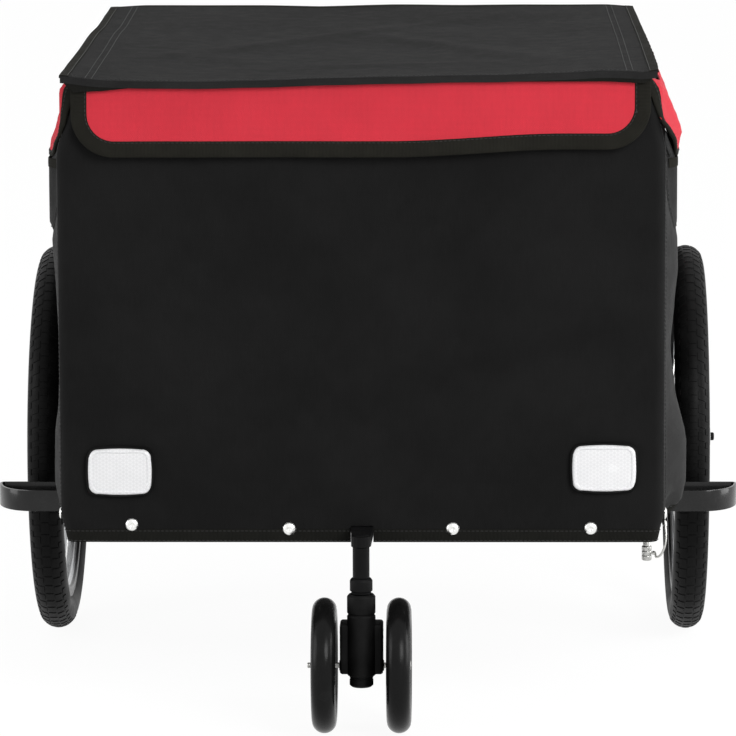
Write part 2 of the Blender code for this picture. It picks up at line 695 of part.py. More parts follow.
def build_end_valance(name, face_y, outward, origin, pivot):
    """The red flap that hangs over the front or the rear cloth."""
    columns = rounded_columns(VALANCE_HALF_WIDTH, VALANCE_RADIUS, 9, 4)
    low = END_TOP_Z - VALANCE_DROP
    back, front = [], []
    for share in spread(0.0, 1.0, 4):
        back_row, front_row = [], []
        for across in columns:
            top = roof_height(across, BODY_FRONT) - ROOF_THICKNESS - 2 * CLEARANCE
            bottom = low + rounded_lower_edge(across, VALANCE_HALF_WIDTH, VALANCE_RADIUS)
            height = top + (bottom - top) * share
            lean = VALANCE_FLARE * ((top - height) / (top - low)) ** 1.5
            point = Vector((across, face_y + outward * lean, height)) - origin
            back_row.append(point)
            front_row.append(point + Vector((0, outward * FABRIC, 0)))
        back.append(back_row)
        front.append(front_row)
    finish(name, sheet(front, back), MATERIALS["red_cloth"], pivot)


def build_side_valance(side, word, origin, pivot):
    """A red side flap, narrow at the roof and standing well off the body behind its corner."""
    half = BODY_LENGTH / 2 - SIDE_VALANCE_INSET
    middle = (BODY_FRONT + BODY_REAR) / 2
    columns = rounded_columns(half, VALANCE_RADIUS, 11, 3)
    top = ROOF_SEAT_Z - CLEARANCE
    low = END_TOP_Z - VALANCE_DROP
    start = ROOF_HALF_WIDTH - FABRIC - CLEARANCE
    past_side = BODY_HALF_WIDTH + VALANCE_STANDOFF
    outer, inner = [], []
    for share in (0.0, 0.12, 0.25, 0.5, 0.75, 1.0):
        outer_row, inner_row = [], []
        for along in columns:
            bottom = low + rounded_lower_edge(along, half, VALANCE_RADIUS)
            height = top + (bottom - top) * share
            fade = smooth_step(half - SIDE_FLARE_FADE, half, along)
            stand = smooth_step(-half, SIDE_FLARE_RUN - half, along) * (1 - (1 - SIDE_FLARE_REST) * fade)
            hang = (top - height) / VALANCE_DROP
            reach = start + (past_side - start) * smooth_step(0.0, SIDE_HANG, hang)
            reach += (0.25 + 0.75 * stand) * SIDE_VALANCE_FLARE * hang ** 1.2
            point = Vector((side * reach, middle + along, height)) - origin
            inner_row.append(point)
            outer_row.append(point + Vector((side * FABRIC, 0, 0)))
        outer.append(outer_row)
        inner.append(inner_row)
    finish(f"{word}_valance", sheet(outer, inner), MATERIALS["red_cloth"], pivot)


def tyre_profile(outer_radius, seat_radius, width, seat_width, steps):
    """Round tread and sidewalls down to a flat seat, as (radius, place) points."""
    half = width / 2
    centre = outer_radius - half
    sweep = math.radians(125)
    points = []
    for step in range(steps + 1):
        angle = -sweep + 2 * sweep * step / steps
        points.append((centre + half * math.cos(angle), half * math.sin(angle)))
    points.append((seat_radius, seat_width / 2))
    points.append((seat_radius, -seat_width / 2))
    return points


def build_main_wheel(side, word):
    pivot = pivot_empty(f"{word}_wheel_axis", (side * WHEEL_X, AXLE_Y, AXLE_Z))
    axis = (1, 0, 0)
    seat = RIM_OUTER + CLEARANCE
    tyre = tyre_profile(WHEEL_RADIUS, seat, TYRE_WIDTH, RIM_WIDTH - RIM_LIP, 8)
    finish(f"{word}_tyre", turned(tyre, axis, WHEEL_FACETS, closed=True), MATERIALS["rubber"], pivot)
    half = RIM_WIDTH / 2
    rim = [(RIM_OUTER, -half), (RIM_OUTER, half), (RIM_OUTER - RIM_LIP, half),
           (RIM_INNER, RIM_BED_HALF), (RIM_INNER, -RIM_BED_HALF), (RIM_OUTER - RIM_LIP, -half)]
    finish(f"{word}_rim", turned(rim, axis, WHEEL_FACETS, closed=True), MATERIALS["rim"], pivot)
    build_hub(word, pivot, axis)
    build_axle(side, word)


def build_hub(word, pivot, axis):
    """Hub shell with two flanges and the spokes that run from them to the rim."""
    half = HUB_LENGTH / 2
    flange_out = half - HUB_END
    flange_in = flange_out - HUB_FLANGE
    profile = [(AXLE_HOLE_RADIUS, -half), (HUB_END_RADIUS, -half), (HUB_END_RADIUS, -flange_out),
               (HUB_FLANGE_RADIUS, -flange_out), (HUB_FLANGE_RADIUS, -flange_in),
               (HUB_RADIUS, -flange_in), (HUB_RADIUS, flange_in),
               (HUB_FLANGE_RADIUS, flange_in), (HUB_FLANGE_RADIUS, flange_out),
               (HUB_END_RADIUS, flange_out), (HUB_END_RADIUS, half), (AXLE_HOLE_RADIUS, half)]
    hub = finish(f"{word}_hub_and_spokes", turned(profile, axis, 16, closed=True),
                 MATERIALS["chrome"], pivot)
    builder = bmesh.new()
    total = 2 * SPOKES_PER_FLANGE
    facet = math.cos(math.pi / WHEEL_FACETS)
    for index in range(total):
        flange = 1 if index % 2 else -1
        at_rim = 2 * math.pi * index / total
        at_hub = at_rim + flange * SPOKE_SWEEP
        hub_x = flange * (flange_out + flange_in) / 2
        hub_radius = HUB_FLANGE_RADIUS - 3 * SPOKE_RADIUS
        start = Vector((hub_x, hub_radius * math.cos(at_hub), hub_radius * math.sin(at_hub)))
        rim_radius = RIM_INNER * facet - CLEARANCE
        end = Vector((flange * SPOKE_OFFSET, rim_radius * math.cos(at_rim), rim_radius * math.sin(at_rim)))
        add_rod(builder, start, end, SPOKE_RADIUS, 5)
    spokes = finish(f"{word}_spokes", builder, MATERIALS["chrome"], pivot)
    combine(hub, spokes, "UNION")


def add_rod(builder, start, end, radius, steps):
    """Adds a plain round rod between two points to a mesh that is being built."""
    _, first, second = axes_for(end - start)
    rings = []
    for point in (start, end):
        ring = []
        for step in range(steps):
            angle = 2 * math.pi * step / steps
            offset = first * math.cos(angle) + second * math.sin(angle)
            ring.append(builder.verts.new(point + offset * radius))
        rings.append(ring)
    for step in range(steps):
        after = (step + 1) % steps
        builder.faces.new((rings[0][step], rings[0][after], rings[1][after], rings[1][step]))
    builder.faces.new(rings[0])
    builder.faces.new(rings[1])


def build_axle(side, word):
    """Push-in axle with its head and release button, and the boss that spaces the hub."""
    outward = (side, 0, 0)
    hub_end = WHEEL_X + HUB_LENGTH / 2
    inner_end = RAIL_X - TUBE_RADIUS - AXLE_REACH
    head_low = hub_end + CLEARANCE
    head_high = head_low + AXLE_FLANGE
    bore = BUTTON_RADIUS + CLEARANCE
    bore_floor = head_high + BUTTON_PROUD - BUTTON_LENGTH - BUTTON_ROOM
    profile = [(0, inner_end), (AXLE_RADIUS - AXLE_TAPER, inner_end),
               (AXLE_RADIUS, inner_end + 2 * AXLE_TAPER), (AXLE_RADIUS, head_low),
               (AXLE_FLANGE_RADIUS, head_low), (AXLE_FLANGE_RADIUS, head_high - EDGE_BREAK),
               (AXLE_FLANGE_RADIUS - EDGE_BREAK, head_high),
               (bore, head_high), (bore, bore_floor), (0, bore_floor)]
    finish(f"{word}_axle", turned(profile, outward, 20), MATERIALS["chrome"], at=(0, AXLE_Y, AXLE_Z))
    button_pivot = pivot_empty(f"{word}_button_axis", (side * (head_high + BUTTON_PROUD), AXLE_Y, AXLE_Z))
    profile = rod_profile(BUTTON_RADIUS, -BUTTON_LENGTH, 0)
    finish(f"{word}_axle_button", turned(profile, outward, 16), MATERIALS["plastic"], button_pivot)
    drop = AXLE_Z - BASE_Z
    boss_low = RAIL_X + math.sqrt(TUBE_RADIUS ** 2 - max(drop - BOSS_RADIUS, 0) ** 2) + CLEARANCE
    boss_high = WHEEL_X - HUB_LENGTH / 2 - CLEARANCE
    profile = pipe_profile(BOSS_RADIUS, AXLE_HOLE_RADIUS, boss_low, boss_high)
    finish(f"{word}_axle_boss", turned(profile, outward, 20, closed=True), MATERIALS["steel"],
           at=(0, AXLE_Y, AXLE_Z))


def build_wheel_guard(side, word):
    """A flat strip bent into a closed loop ahead of the wheel."""
    drop = BASE_Z - GUARD_TOP_Z
    inside = RAIL_X + math.sqrt(TUBE_RADIUS ** 2 - drop ** 2) + CLEARANCE + GUARD_STRIP / 2
    outside = GUARD_HALF_SPAN - GUARD_STRIP / 2
    front = AXLE_Y - GUARD_AHEAD + GUARD_STRIP / 2
    rear = front + GUARD_DEPTH
    path = [(inside, front)]
    steps = 8
    rise = GUARD_DEPTH - GUARD_CORNER
    for step in range(steps + 1):
        angle = math.pi / 2 * step / steps
        path.append((outside - GUARD_CURVE * (1 - math.sin(angle)), front + rise * (1 - math.cos(angle))))
    for angle in (math.pi / 4, math.pi / 2):
        path.append((outside - GUARD_CORNER * (1 - math.cos(angle)),
                     rear - GUARD_CORNER * (1 - math.sin(angle))))
    path.append((inside, rear))
    low = GUARD_TOP_Z - GUARD_HEIGHT
    builder = bmesh.new()
    rings = []
    count = len(path)
    for index in range(count):
        here = Vector(path[index])
        back = (here - Vector(path[index - 1])).normalized()
        ahead = (Vector(path[(index + 1) % count]) - here).normalized()
        normal = Vector((back.y, -back.x)) + Vector((ahead.y, -ahead.x))
        normal /= normal.length
        stretch = 1 / max(normal.dot(Vector((ahead.y, -ahead.x))), 0.5)
        ring = []
        for offset, height in ((-1, low), (1, low), (1, GUARD_TOP_Z), (-1, GUARD_TOP_Z)):
            point = here + normal * offset * stretch * GUARD_STRIP / 2
            ring.append(builder.verts.new((side * point.x, point.y, height)))
        rings.append(ring)
    for index in range(count):
        first, second = rings[index], rings[(index + 1) % count]
        for corner_index in range(4):
            after = (corner_index + 1) % 4
            builder.faces.new((first[corner_index], first[after], second[after], second[corner_index]))
    finish(f"{word}_wheel_guard", builder, MATERIALS["gloss"], smooth=True)


def build_caster():
    steel = MATERIALS["steel"]
    swivel = pivot_empty("caster_swivel_axis", (0, STEM_Y, 0))
    build_caster_arm()
    weld_low = ARM_TOP_Z + CLEARANCE
    collar_bottom = SLEEVE_TOP_Z + CLEARANCE
    stem_end = CAP_LOW_Z + CAP_FLOOR
    profile = [(0, stem_end), (STEM_LOWER_RADIUS, stem_end), (STEM_LOWER_RADIUS, COLLAR_TOP_Z + CLEARANCE),
               (STEM_RADIUS, COLLAR_TOP_Z + CLEARANCE), (STEM_RADIUS, weld_low),
               (STEM_WELD_RADIUS, weld_low), (STEM_WELD_RADIUS * 0.8, weld_low + STEM_WELD),
               (0, weld_low + STEM_WELD)]
    stem_at = (0, STEM_Y, 0)
    finish("caster_stem", turned(profile, (0, 0, 1), 16), steel, at=stem_at)
    around_stem = STEM_LOWER_RADIUS + CLEARANCE
    profile = pipe_profile(COLLAR_RADIUS, around_stem, collar_bottom, COLLAR_TOP_Z)
    finish("caster_collar", turned(profile, (0, 0, 1), 16, closed=True), steel, at=stem_at)
    cap_top = BLOCK_LOW_Z - CASE_LIP - CLEARANCE
    profile = [(0, CAP_LOW_Z), (CAP_RADIUS * 0.8, CAP_LOW_Z), (CAP_RADIUS, CAP_LOW_Z + 0.0015),
               (CAP_RADIUS, cap_top), (around_stem, cap_top), (around_stem, stem_end - CLEARANCE),
               (0, stem_end - CLEARANCE)]
    finish("caster_cap", turned(profile, (0, 0, 1), 16), steel, at=stem_at)
    build_caster_housing(swivel, around_stem)
    build_caster_wheels(swivel)


def build_caster_arm():
    """A flat bar that tapers from the base front tube to a round nose about the stem."""
    rear = CROSS_FRONT_Y
    half = ARM_WIDTH / 2
    outline = [(half, rear), (half, BODY_FRONT)]
    for step in range(9):
        angle = math.pi * step / 8
        outline.append((ARM_NOSE_RADIUS * math.cos(angle), STEM_Y - ARM_NOSE_RADIUS * math.sin(angle)))
    outline += [(-half, BODY_FRONT), (-half, rear)]
    builder = bmesh.new()
    low, high = [[builder.verts.new((x, y, z)) for x, y in outline]
                 for z in (ARM_TOP_Z - ARM_HEIGHT, ARM_TOP_Z)]
    for index in range(len(outline)):
        after = (index + 1) % len(outline)
        builder.faces.new((low[index], low[after], high[after], high[index]))
    builder.faces.new(low)
    builder.faces.new(high)
    arm = finish("caster_arm", builder, MATERIALS["steel"], smooth=False)
    saddle = cylinder_guide("arm_saddle", TUBE_RADIUS + CLEARANCE, (-ARM_WIDTH, CROSS_FRONT_Y, BASE_Z),
                            (ARM_WIDTH, CROSS_FRONT_Y, BASE_Z), steps=36)
    hole = cylinder_guide("arm_hole", STEM_RADIUS + CLEARANCE, (0, STEM_Y, ARM_TOP_Z - 2 * ARM_HEIGHT),
                          (0, STEM_Y, ARM_TOP_Z + ARM_HEIGHT))
    combine(arm, saddle, "DIFFERENCE")
    combine(arm, hole, "DIFFERENCE")


def build_caster_housing(swivel, around_stem):
    """The swivelling block: a round bearing case with a flat body that carries the axle."""
    plastic = MATERIALS["plastic"]
    case_low = BLOCK_LOW_Z - CASE_LIP
    profile = [(0, case_low), (SLEEVE_RADIUS, case_low), (SLEEVE_RADIUS, SLEEVE_TOP_Z - EDGE_BREAK),
               (SLEEVE_RADIUS - EDGE_BREAK, SLEEVE_TOP_Z), (0, SLEEVE_TOP_Z)]
    housing = finish("caster_housing", turned(profile, (0, 0, 1), 24), plastic, swivel)
    length = CASTER_TRAIL + BLOCK_TAIL + BLOCK_NOSE
    size = (BLOCK_WIDTH, length, BLOCK_TOP_Z - BLOCK_LOW_Z)
    centre = (0, STEM_Y + (CASTER_TRAIL + BLOCK_TAIL - BLOCK_NOSE) / 2, (BLOCK_TOP_Z + BLOCK_LOW_Z) / 2)
    block = finish("caster_block", box(size, bevel=0.002, segments=1), plastic, at=centre, smooth=False)
    combine(housing, block, "UNION")
    bore = cylinder_guide("caster_stem_bore", around_stem,
                          (0, STEM_Y, CAP_LOW_Z), (0, STEM_Y, COLLAR_TOP_Z))
    combine(housing, bore, "DIFFERENCE")
    hole = cylinder_guide("caster_axle_hole", CASTER_AXLE_RADIUS + CLEARANCE,
                          (-BLOCK_WIDTH, CASTER_AXLE_Y, CASTER_RADIUS),
                          (BLOCK_WIDTH, CASTER_AXLE_Y, CASTER_RADIUS), steps=16)
    combine(housing, hole, "DIFFERENCE")


def build_caster_wheels(swivel):
    axle_place = (0, CASTER_TRAIL, CASTER_RADIUS)
    head_low = (CASTER_SPACING + CASTER_CORE_WIDTH) / 2 + CLEARANCE
    axis = (-1, 0, 0)
    tip = head_low + CASTER_NUT + CASTER_THREAD
    profile = [(0, -head_low - CASTER_NUT), (CASTER_NUT_RADIUS - EDGE_BREAK, -head_low - CASTER_NUT),
               (CASTER_NUT_RADIUS, -head_low - CASTER_NUT + EDGE_BREAK), (CASTER_NUT_RADIUS, -head_low),
               (CASTER_AXLE_RADIUS, -head_low), (CASTER_AXLE_RADIUS, tip), (0, tip)]
    finish("caster_axle_bolt", turned(profile, axis, 12), MATERIALS["chrome"], swivel, axle_place)
    thread = (CASTER_AXLE_RADIUS + CLEARANCE) / math.cos(math.pi / 6)
    profile = pipe_profile(CASTER_NUT_RADIUS, thread, head_low, head_low + CASTER_NUT)
    finish("caster_axle_nut", turned(profile, axis, 6, closed=True), MATERIALS["chrome"], swivel,
           axle_place, smooth=False)
    half = CASTER_HUB_WIDTH / 2
    core_half = CASTER_CORE_WIDTH / 2
    hole = CASTER_AXLE_RADIUS + CLEARANCE
    seat = CASTER_RIM_RADIUS + CLEARANCE
    for side, word in SIDE_NAMES.items():
        pivot = pivot_empty(f"{word}_caster_axis",
                            (side * CASTER_SPACING / 2, CASTER_TRAIL, CASTER_RADIUS), swivel)
        tyre = tyre_profile(CASTER_RADIUS, seat, CASTER_WIDTH, CASTER_SEAT_WIDTH, 6)
        finish(f"{word}_caster_tyre", turned(tyre, axis, 28, closed=True), MATERIALS["rubber"], pivot)
        dished = half - CASTER_HUB_DISH
        edge = half - 2 * EDGE_BREAK
        rim_low = CASTER_RIM_RADIUS - CASTER_HUB_RIM
        core_end = CASTER_HUB_CORE - 2 * EDGE_BREAK
        profile = [(hole, -core_half), (core_end, -core_half), (CASTER_HUB_CORE, -dished), (rim_low, -dished),
                   (CASTER_RIM_RADIUS, -edge), (CASTER_RIM_RADIUS, edge), (rim_low, dished),
                   (CASTER_HUB_CORE, dished), (core_end, core_half), (hole, core_half)]
        finish(f"{word}_caster_hub", turned(profile, axis, 28, closed=True), MATERIALS["plastic"], pivot)


def build_lock_pin():
    """The tow bar's pin, pushed up through the left rail, and its wire tether."""
    rail_x = LEFT * RAIL_X
    pivot = pivot_empty("lock_pin_axis", (rail_x, PIN_Y, PIN_HEAD_TOP_Z))
    pin_top = RAIL_TOP_Z + PIN_PROUD - PIN_HEAD_TOP_Z
    profile = [(0, -PIN_HEAD), (PIN_HEAD_RADIUS - EDGE_BREAK, -PIN_HEAD),
               (PIN_HEAD_RADIUS, EDGE_BREAK - PIN_HEAD), (PIN_HEAD_RADIUS, -EDGE_BREAK),
               (PIN_HEAD_RADIUS - EDGE_BREAK, 0), (PIN_RADIUS, 0), (PIN_RADIUS, pin_top - EDGE_BREAK),
               (PIN_RADIUS - EDGE_BREAK, pin_top), (0, pin_top)]
    finish("lock_pin", turned(profile, (0, 0, 1), 16), MATERIALS["zinc"], pivot)
    snap_low = SIDE_SNAP_Z - SNAP_RADIUS
    outside = BODY_HALF_WIDTH + CLEARANCE + TETHER_RADIUS
    snap_y = BODY_FRONT + SIDE_SNAP_BEHIND
    head_side = rail_x + PIN_HEAD_RADIUS + CLEARANCE
    head_middle = PIN_HEAD_TOP_Z - PIN_HEAD / 2
    route = [
        (outside, snap_y, snap_low - CLEARANCE),
        (outside + 0.0008, snap_y - 0.001, snap_low - 0.006),
        (outside + 0.0014, snap_y - 0.004, snap_low - 0.015),
        (outside + 0.0002, snap_y - 0.006, snap_low - 0.025),
        (outside - 0.0034, snap_y - 0.004, snap_low - 0.0335),
        (outside - 0.0075, snap_y + 0.003, snap_low - 0.0370),
        (head_side + 0.0030, PIN_Y - 0.001, head_middle),
        (head_side, PIN_Y, head_middle),
    ]
    build_tether(route)


def build_tether(route):
    """A thin wire through hand-chosen points, as one smooth curve."""
    points = [Vector(point) for point in route]
    padded = [2 * points[0] - points[1]] + points + [2 * points[-1] - points[-2]]
    smooth_points = []
    per_span = 2
    for index in range(1, len(padded) - 2):
        before, here, after, beyond = padded[index - 1:index + 3]
        for step in range(per_span):
            share = step / per_span
            square, cube = share ** 2, share ** 3
            smooth_points.append(0.5 * (2 * here + (after - before) * share
                                        + (2 * before - 5 * here + 4 * after - beyond) * square
                                        + (3 * here - before - 3 * after + beyond) * cube))
    smooth_points.append(points[-1])
    curve = bpy.data.curves.new("pin_tether", "CURVE")
    curve.dimensions = "3D"
    curve.bevel_depth = TETHER_RADIUS
    curve.bevel_resolution = 2
    curve.use_fill_caps = True
    spline = curve.splines.new("POLY")
    spline.points.add(len(smooth_points) - 1)
    for target, point in zip(spline.points, smooth_points):
        target.co = (*point, 1.0)
    curve.materials.append(MATERIALS["zinc"])
    tether = bpy.data.objects.new("pin_tether", curve)
    bpy.context.scene.collection.objects.link(tether)


def reflector_outline(arc_steps=3, side_steps=3):
    """A rounded rectangle whose four sides swell outwards."""
    half_w, half_h = REFLECTOR_WIDTH / 2, REFLECTOR_HEIGHT / 2
    corner = REFLECTOR_CORNER
    points = []
    for quarter in range(4):
        turn = math.pi / 2 * quarter
        wide, tall = (half_w, half_h) if quarter % 2 == 0 else (half_h, half_w)
        for step in range(side_steps):
            place = -(tall - corner) + 2 * (tall - corner) * step / side_steps
            swell = REFLECTOR_BULGE * (1 - (place / tall) ** 2)
            points.append((turn, wide - REFLECTOR_BULGE + swell, place))
        for step in range(arc_steps):
            angle = math.pi / 2 * step / arc_steps
            swell = REFLECTOR_BULGE * (1 - ((tall - corner) / tall) ** 2)
            points.append((turn, wide - REFLECTOR_BULGE + swell - corner * (1 - math.cos(angle)),
                           tall - corner + (corner - REFLECTOR_BULGE + swell) * math.sin(angle)))
    return [(wide * math.cos(turn) - place * math.sin(turn),
             wide * math.sin(turn) + place * math.cos(turn)) for turn, wide, place in points]


def build_reflectors():
    outline = reflector_outline()
    for end, face_y, outward, finish_name in (("front", BODY_FRONT, -1, "white_lens"),
                                              ("rear", BODY_REAR, 1, "red_lens")):
        for side, word in SIDE_NAMES.items():
            builder = bmesh.new()
            back = face_y + outward * CLEARANCE
            middle = HEM_Z + REFLECTOR_RISES[word]
            levels = ((1.0, 0.0), (1.0, 0.8), (0.93, 1.0))
            rings = []
            for scale, depth in levels:
                place = back + outward * depth * REFLECTOR_THICKNESS
                rings.append([builder.verts.new((side * REFLECTOR_X + x * scale, place,
                                                 middle + z * scale)) for x, z in outline])
            for low, high in zip(rings, rings[1:]):
                for index in range(len(outline)):
                    after = (index + 1) % len(outline)
                    builder.faces.new((low[index], low[after], high[after], high[index]))
            builder.faces.new(rings[0])
            builder.faces.new(rings[-1])
            finish(f"{end}_{word}_reflector", builder, MATERIALS[finish_name])


def build_snaps():
    """Press snaps along the front hem, and one at the front end of each side hem."""
    dimple = SNAP_RADIUS * 0.3
    profile = [(0, 0), (SNAP_RADIUS, 0), (SNAP_RADIUS, SNAP_HEIGHT * 0.3),
               (SNAP_RADIUS * 0.6, SNAP_HEIGHT), (dimple, SNAP_HEIGHT), (dimple, SNAP_HEIGHT * 0.75),
               (0, SNAP_HEIGHT * 0.75)]
    right_inset, left_inset = SNAP_OUTER_INSETS
    places = (right_inset - BODY_HALF_WIDTH, *SNAP_MIDDLE_X, BODY_HALF_WIDTH - left_inset)
    for number, (place, rise) in enumerate(zip(places, SNAP_RISES), start=1):
        finish(f"front_snap_{number}", turned(profile, (0, -1, 0), 12), MATERIALS["snap"],
               at=(place, BODY_FRONT - CLEARANCE, HEM_Z + rise))
    for side, word in SIDE_NAMES.items():
        finish(f"{word}_side_snap", turned(profile, (side, 0, 0), 12), MATERIALS["snap"],
               at=(side * (BODY_HALF_WIDTH + CLEARANCE), BODY_FRONT + SIDE_SNAP_BEHIND, SIDE_SNAP_Z))


def main():
    build_base_frame()
    build_hoops()
    build_body_cloth()
    hinge = pivot_empty("lid_hinge_axis", (0, ROOF_REAR_Y, ROOF_SEAT_Z + ROOF_THICKNESS))
    build_roof(hinge)
    for side, word in SIDE_NAMES.items():
        build_main_wheel(side, word)
        build_wheel_guard(side, word)
    build_caster()
    build_lock_pin()
    build_reflectors()
    build_snaps()


clear_scene()
MATERIALS = {
    "steel": material("black_steel", (0.012, 0.012, 0.013), 0.45, 0.4),
    "gloss": material("gloss_black", (0.012, 0.012, 0.012), 0.25),
    "plastic": material("black_plastic", (0.015, 0.015, 0.015), 0.5),
    "rubber": material("tyre_rubber", (0.012, 0.012, 0.012), 0.6),
    "rim": material("silver_rim", (0.55, 0.56, 0.57), 0.35, 0.9),
    "chrome": material("bright_steel", (0.60, 0.60, 0.61), 0.25, 1.0),
    "zinc": material("zinc_plate", (0.55, 0.55, 0.54), 0.4, 0.9),
    "snap": material("nickel_snap", (0.80, 0.80, 0.79), 0.3, 0.6),
    "board": material("floor_board", (0.02, 0.02, 0.02), 0.8),
    "black_cloth": material("black_polyester", (0.014, 0.014, 0.014), 0.85),
    "red_cloth": material("red_polyester", (0.60, 0.035, 0.055), 0.8),
    "white_lens": material("white_reflector", (0.85, 0.85, 0.85), 0.3),
    "red_lens": material("red_reflector", (0.55, 0.01, 0.01), 0.25),
}
main()
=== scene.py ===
import json
import math

import bmesh
import bpy
from mathutils import Euler, Matrix, Vector, noise

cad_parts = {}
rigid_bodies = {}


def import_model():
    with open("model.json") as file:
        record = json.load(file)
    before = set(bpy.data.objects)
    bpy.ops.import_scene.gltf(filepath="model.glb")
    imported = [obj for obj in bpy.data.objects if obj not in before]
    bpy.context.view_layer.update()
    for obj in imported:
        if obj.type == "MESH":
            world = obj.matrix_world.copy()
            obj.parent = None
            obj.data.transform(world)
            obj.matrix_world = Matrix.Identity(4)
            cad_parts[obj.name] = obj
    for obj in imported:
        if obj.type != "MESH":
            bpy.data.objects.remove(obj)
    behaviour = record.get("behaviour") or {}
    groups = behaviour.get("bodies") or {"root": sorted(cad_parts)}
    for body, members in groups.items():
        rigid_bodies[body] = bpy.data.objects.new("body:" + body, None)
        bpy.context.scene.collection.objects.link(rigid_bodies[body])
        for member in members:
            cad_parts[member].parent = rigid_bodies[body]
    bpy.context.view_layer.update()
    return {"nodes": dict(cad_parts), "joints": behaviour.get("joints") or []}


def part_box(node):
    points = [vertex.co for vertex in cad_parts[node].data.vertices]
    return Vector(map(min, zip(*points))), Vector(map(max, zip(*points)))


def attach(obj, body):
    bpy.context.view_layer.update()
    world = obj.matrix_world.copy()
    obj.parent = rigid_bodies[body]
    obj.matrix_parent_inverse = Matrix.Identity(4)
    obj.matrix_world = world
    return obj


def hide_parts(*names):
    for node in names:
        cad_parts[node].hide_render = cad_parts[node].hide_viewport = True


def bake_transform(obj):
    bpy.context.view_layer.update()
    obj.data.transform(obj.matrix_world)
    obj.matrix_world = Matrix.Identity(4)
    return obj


for leftOver in list(bpy.data.objects):
    bpy.data.objects.remove(leftOver)
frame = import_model()

# Places on the frame that the cloth and the wheels are built to
sides = {"left": 1, "right": -1}
joints = {joint["name"]: Vector(joint["pos_m"]) for joint in frame["joints"] if "pos_m" in joint}
wheelAt, casterAt, stemAt = joints["left_wheel_spin"], joints["left_caster_spin"], joints["caster_swivel"]
gap = 0.0003  # between a piece and its neighbour
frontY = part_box("front_snap_1")[1].y + gap
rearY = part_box("rear_left_reflector")[0].y - gap
middleY = (frontY + rearY) / 2
halfLength = (rearY - frontY) / 2
sideSnapLow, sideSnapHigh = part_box("left_side_snap")
sideSnapAt = (sideSnapLow + sideSnapHigh) / 2
sideX = sideSnapLow.x - gap
hemZ, endTopZ = [corner.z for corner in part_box("front_panel")]
sideHemZ, sideTopZ = [corner.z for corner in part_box("left_side_panel")]
baseZ = sum(corner.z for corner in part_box("base_front_tube")) / 2


# Node trees

class Wire:  # a socket that can stand in a sum
    def __init__(self, graph, socket):
        self.graph = graph
        self.socket = socket

    def __add__(self, other):
        return self.graph.maths("ADD", self, other)

    def __sub__(self, other):
        return self.graph.maths("SUBTRACT", self, other)

    def __rsub__(self, other):
        return self.graph.maths("SUBTRACT", other, self)

    def __mul__(self, other):
        return self.graph.maths("MULTIPLY", self, other)

    def __truediv__(self, other):
        return self.graph.maths("DIVIDE", self, other)

    __radd__ = __add__
    __rmul__ = __mul__


class Graph:  # a node tree that is filled one node at a time
    def __init__(self, tree):
        self.tree = tree

    def add(self, kind, inputs=None, settings=None, output=0):
        node = self.tree.nodes.new(kind)
        for name, value in (settings or {}).items():
            setattr(node, name, value)
        for key, value in (inputs or {}).items():
            self.feed(node.inputs[key], value)
        return Wire(self, node.outputs[output])

    def feed(self, socket, value):
        if isinstance(value, Wire):
            self.tree.links.new(value.socket, socket)
        elif socket.type == "RGBA" and len(value) == 3:
            socket.default_value = (*value, 1.0)
        else:
            socket.default_value = value

    def maths(self, operation, *values):
        return self.add("ShaderNodeMath", dict(enumerate(values)), {"operation": operation})

    def seenStraight(self):  # 1 for what the camera sees, in a gloss and through glass too
        rays = self.tree.nodes.new("ShaderNodeLightPath").outputs
        names = ("Is Camera Ray", "Is Glossy Ray", "Is Transmission Ray")
        camera, gloss, glass = [Wire(self, rays[name]) for name in names]
        return self.maths("MAXIMUM", self.maths("MAXIMUM", camera, gloss), glass)


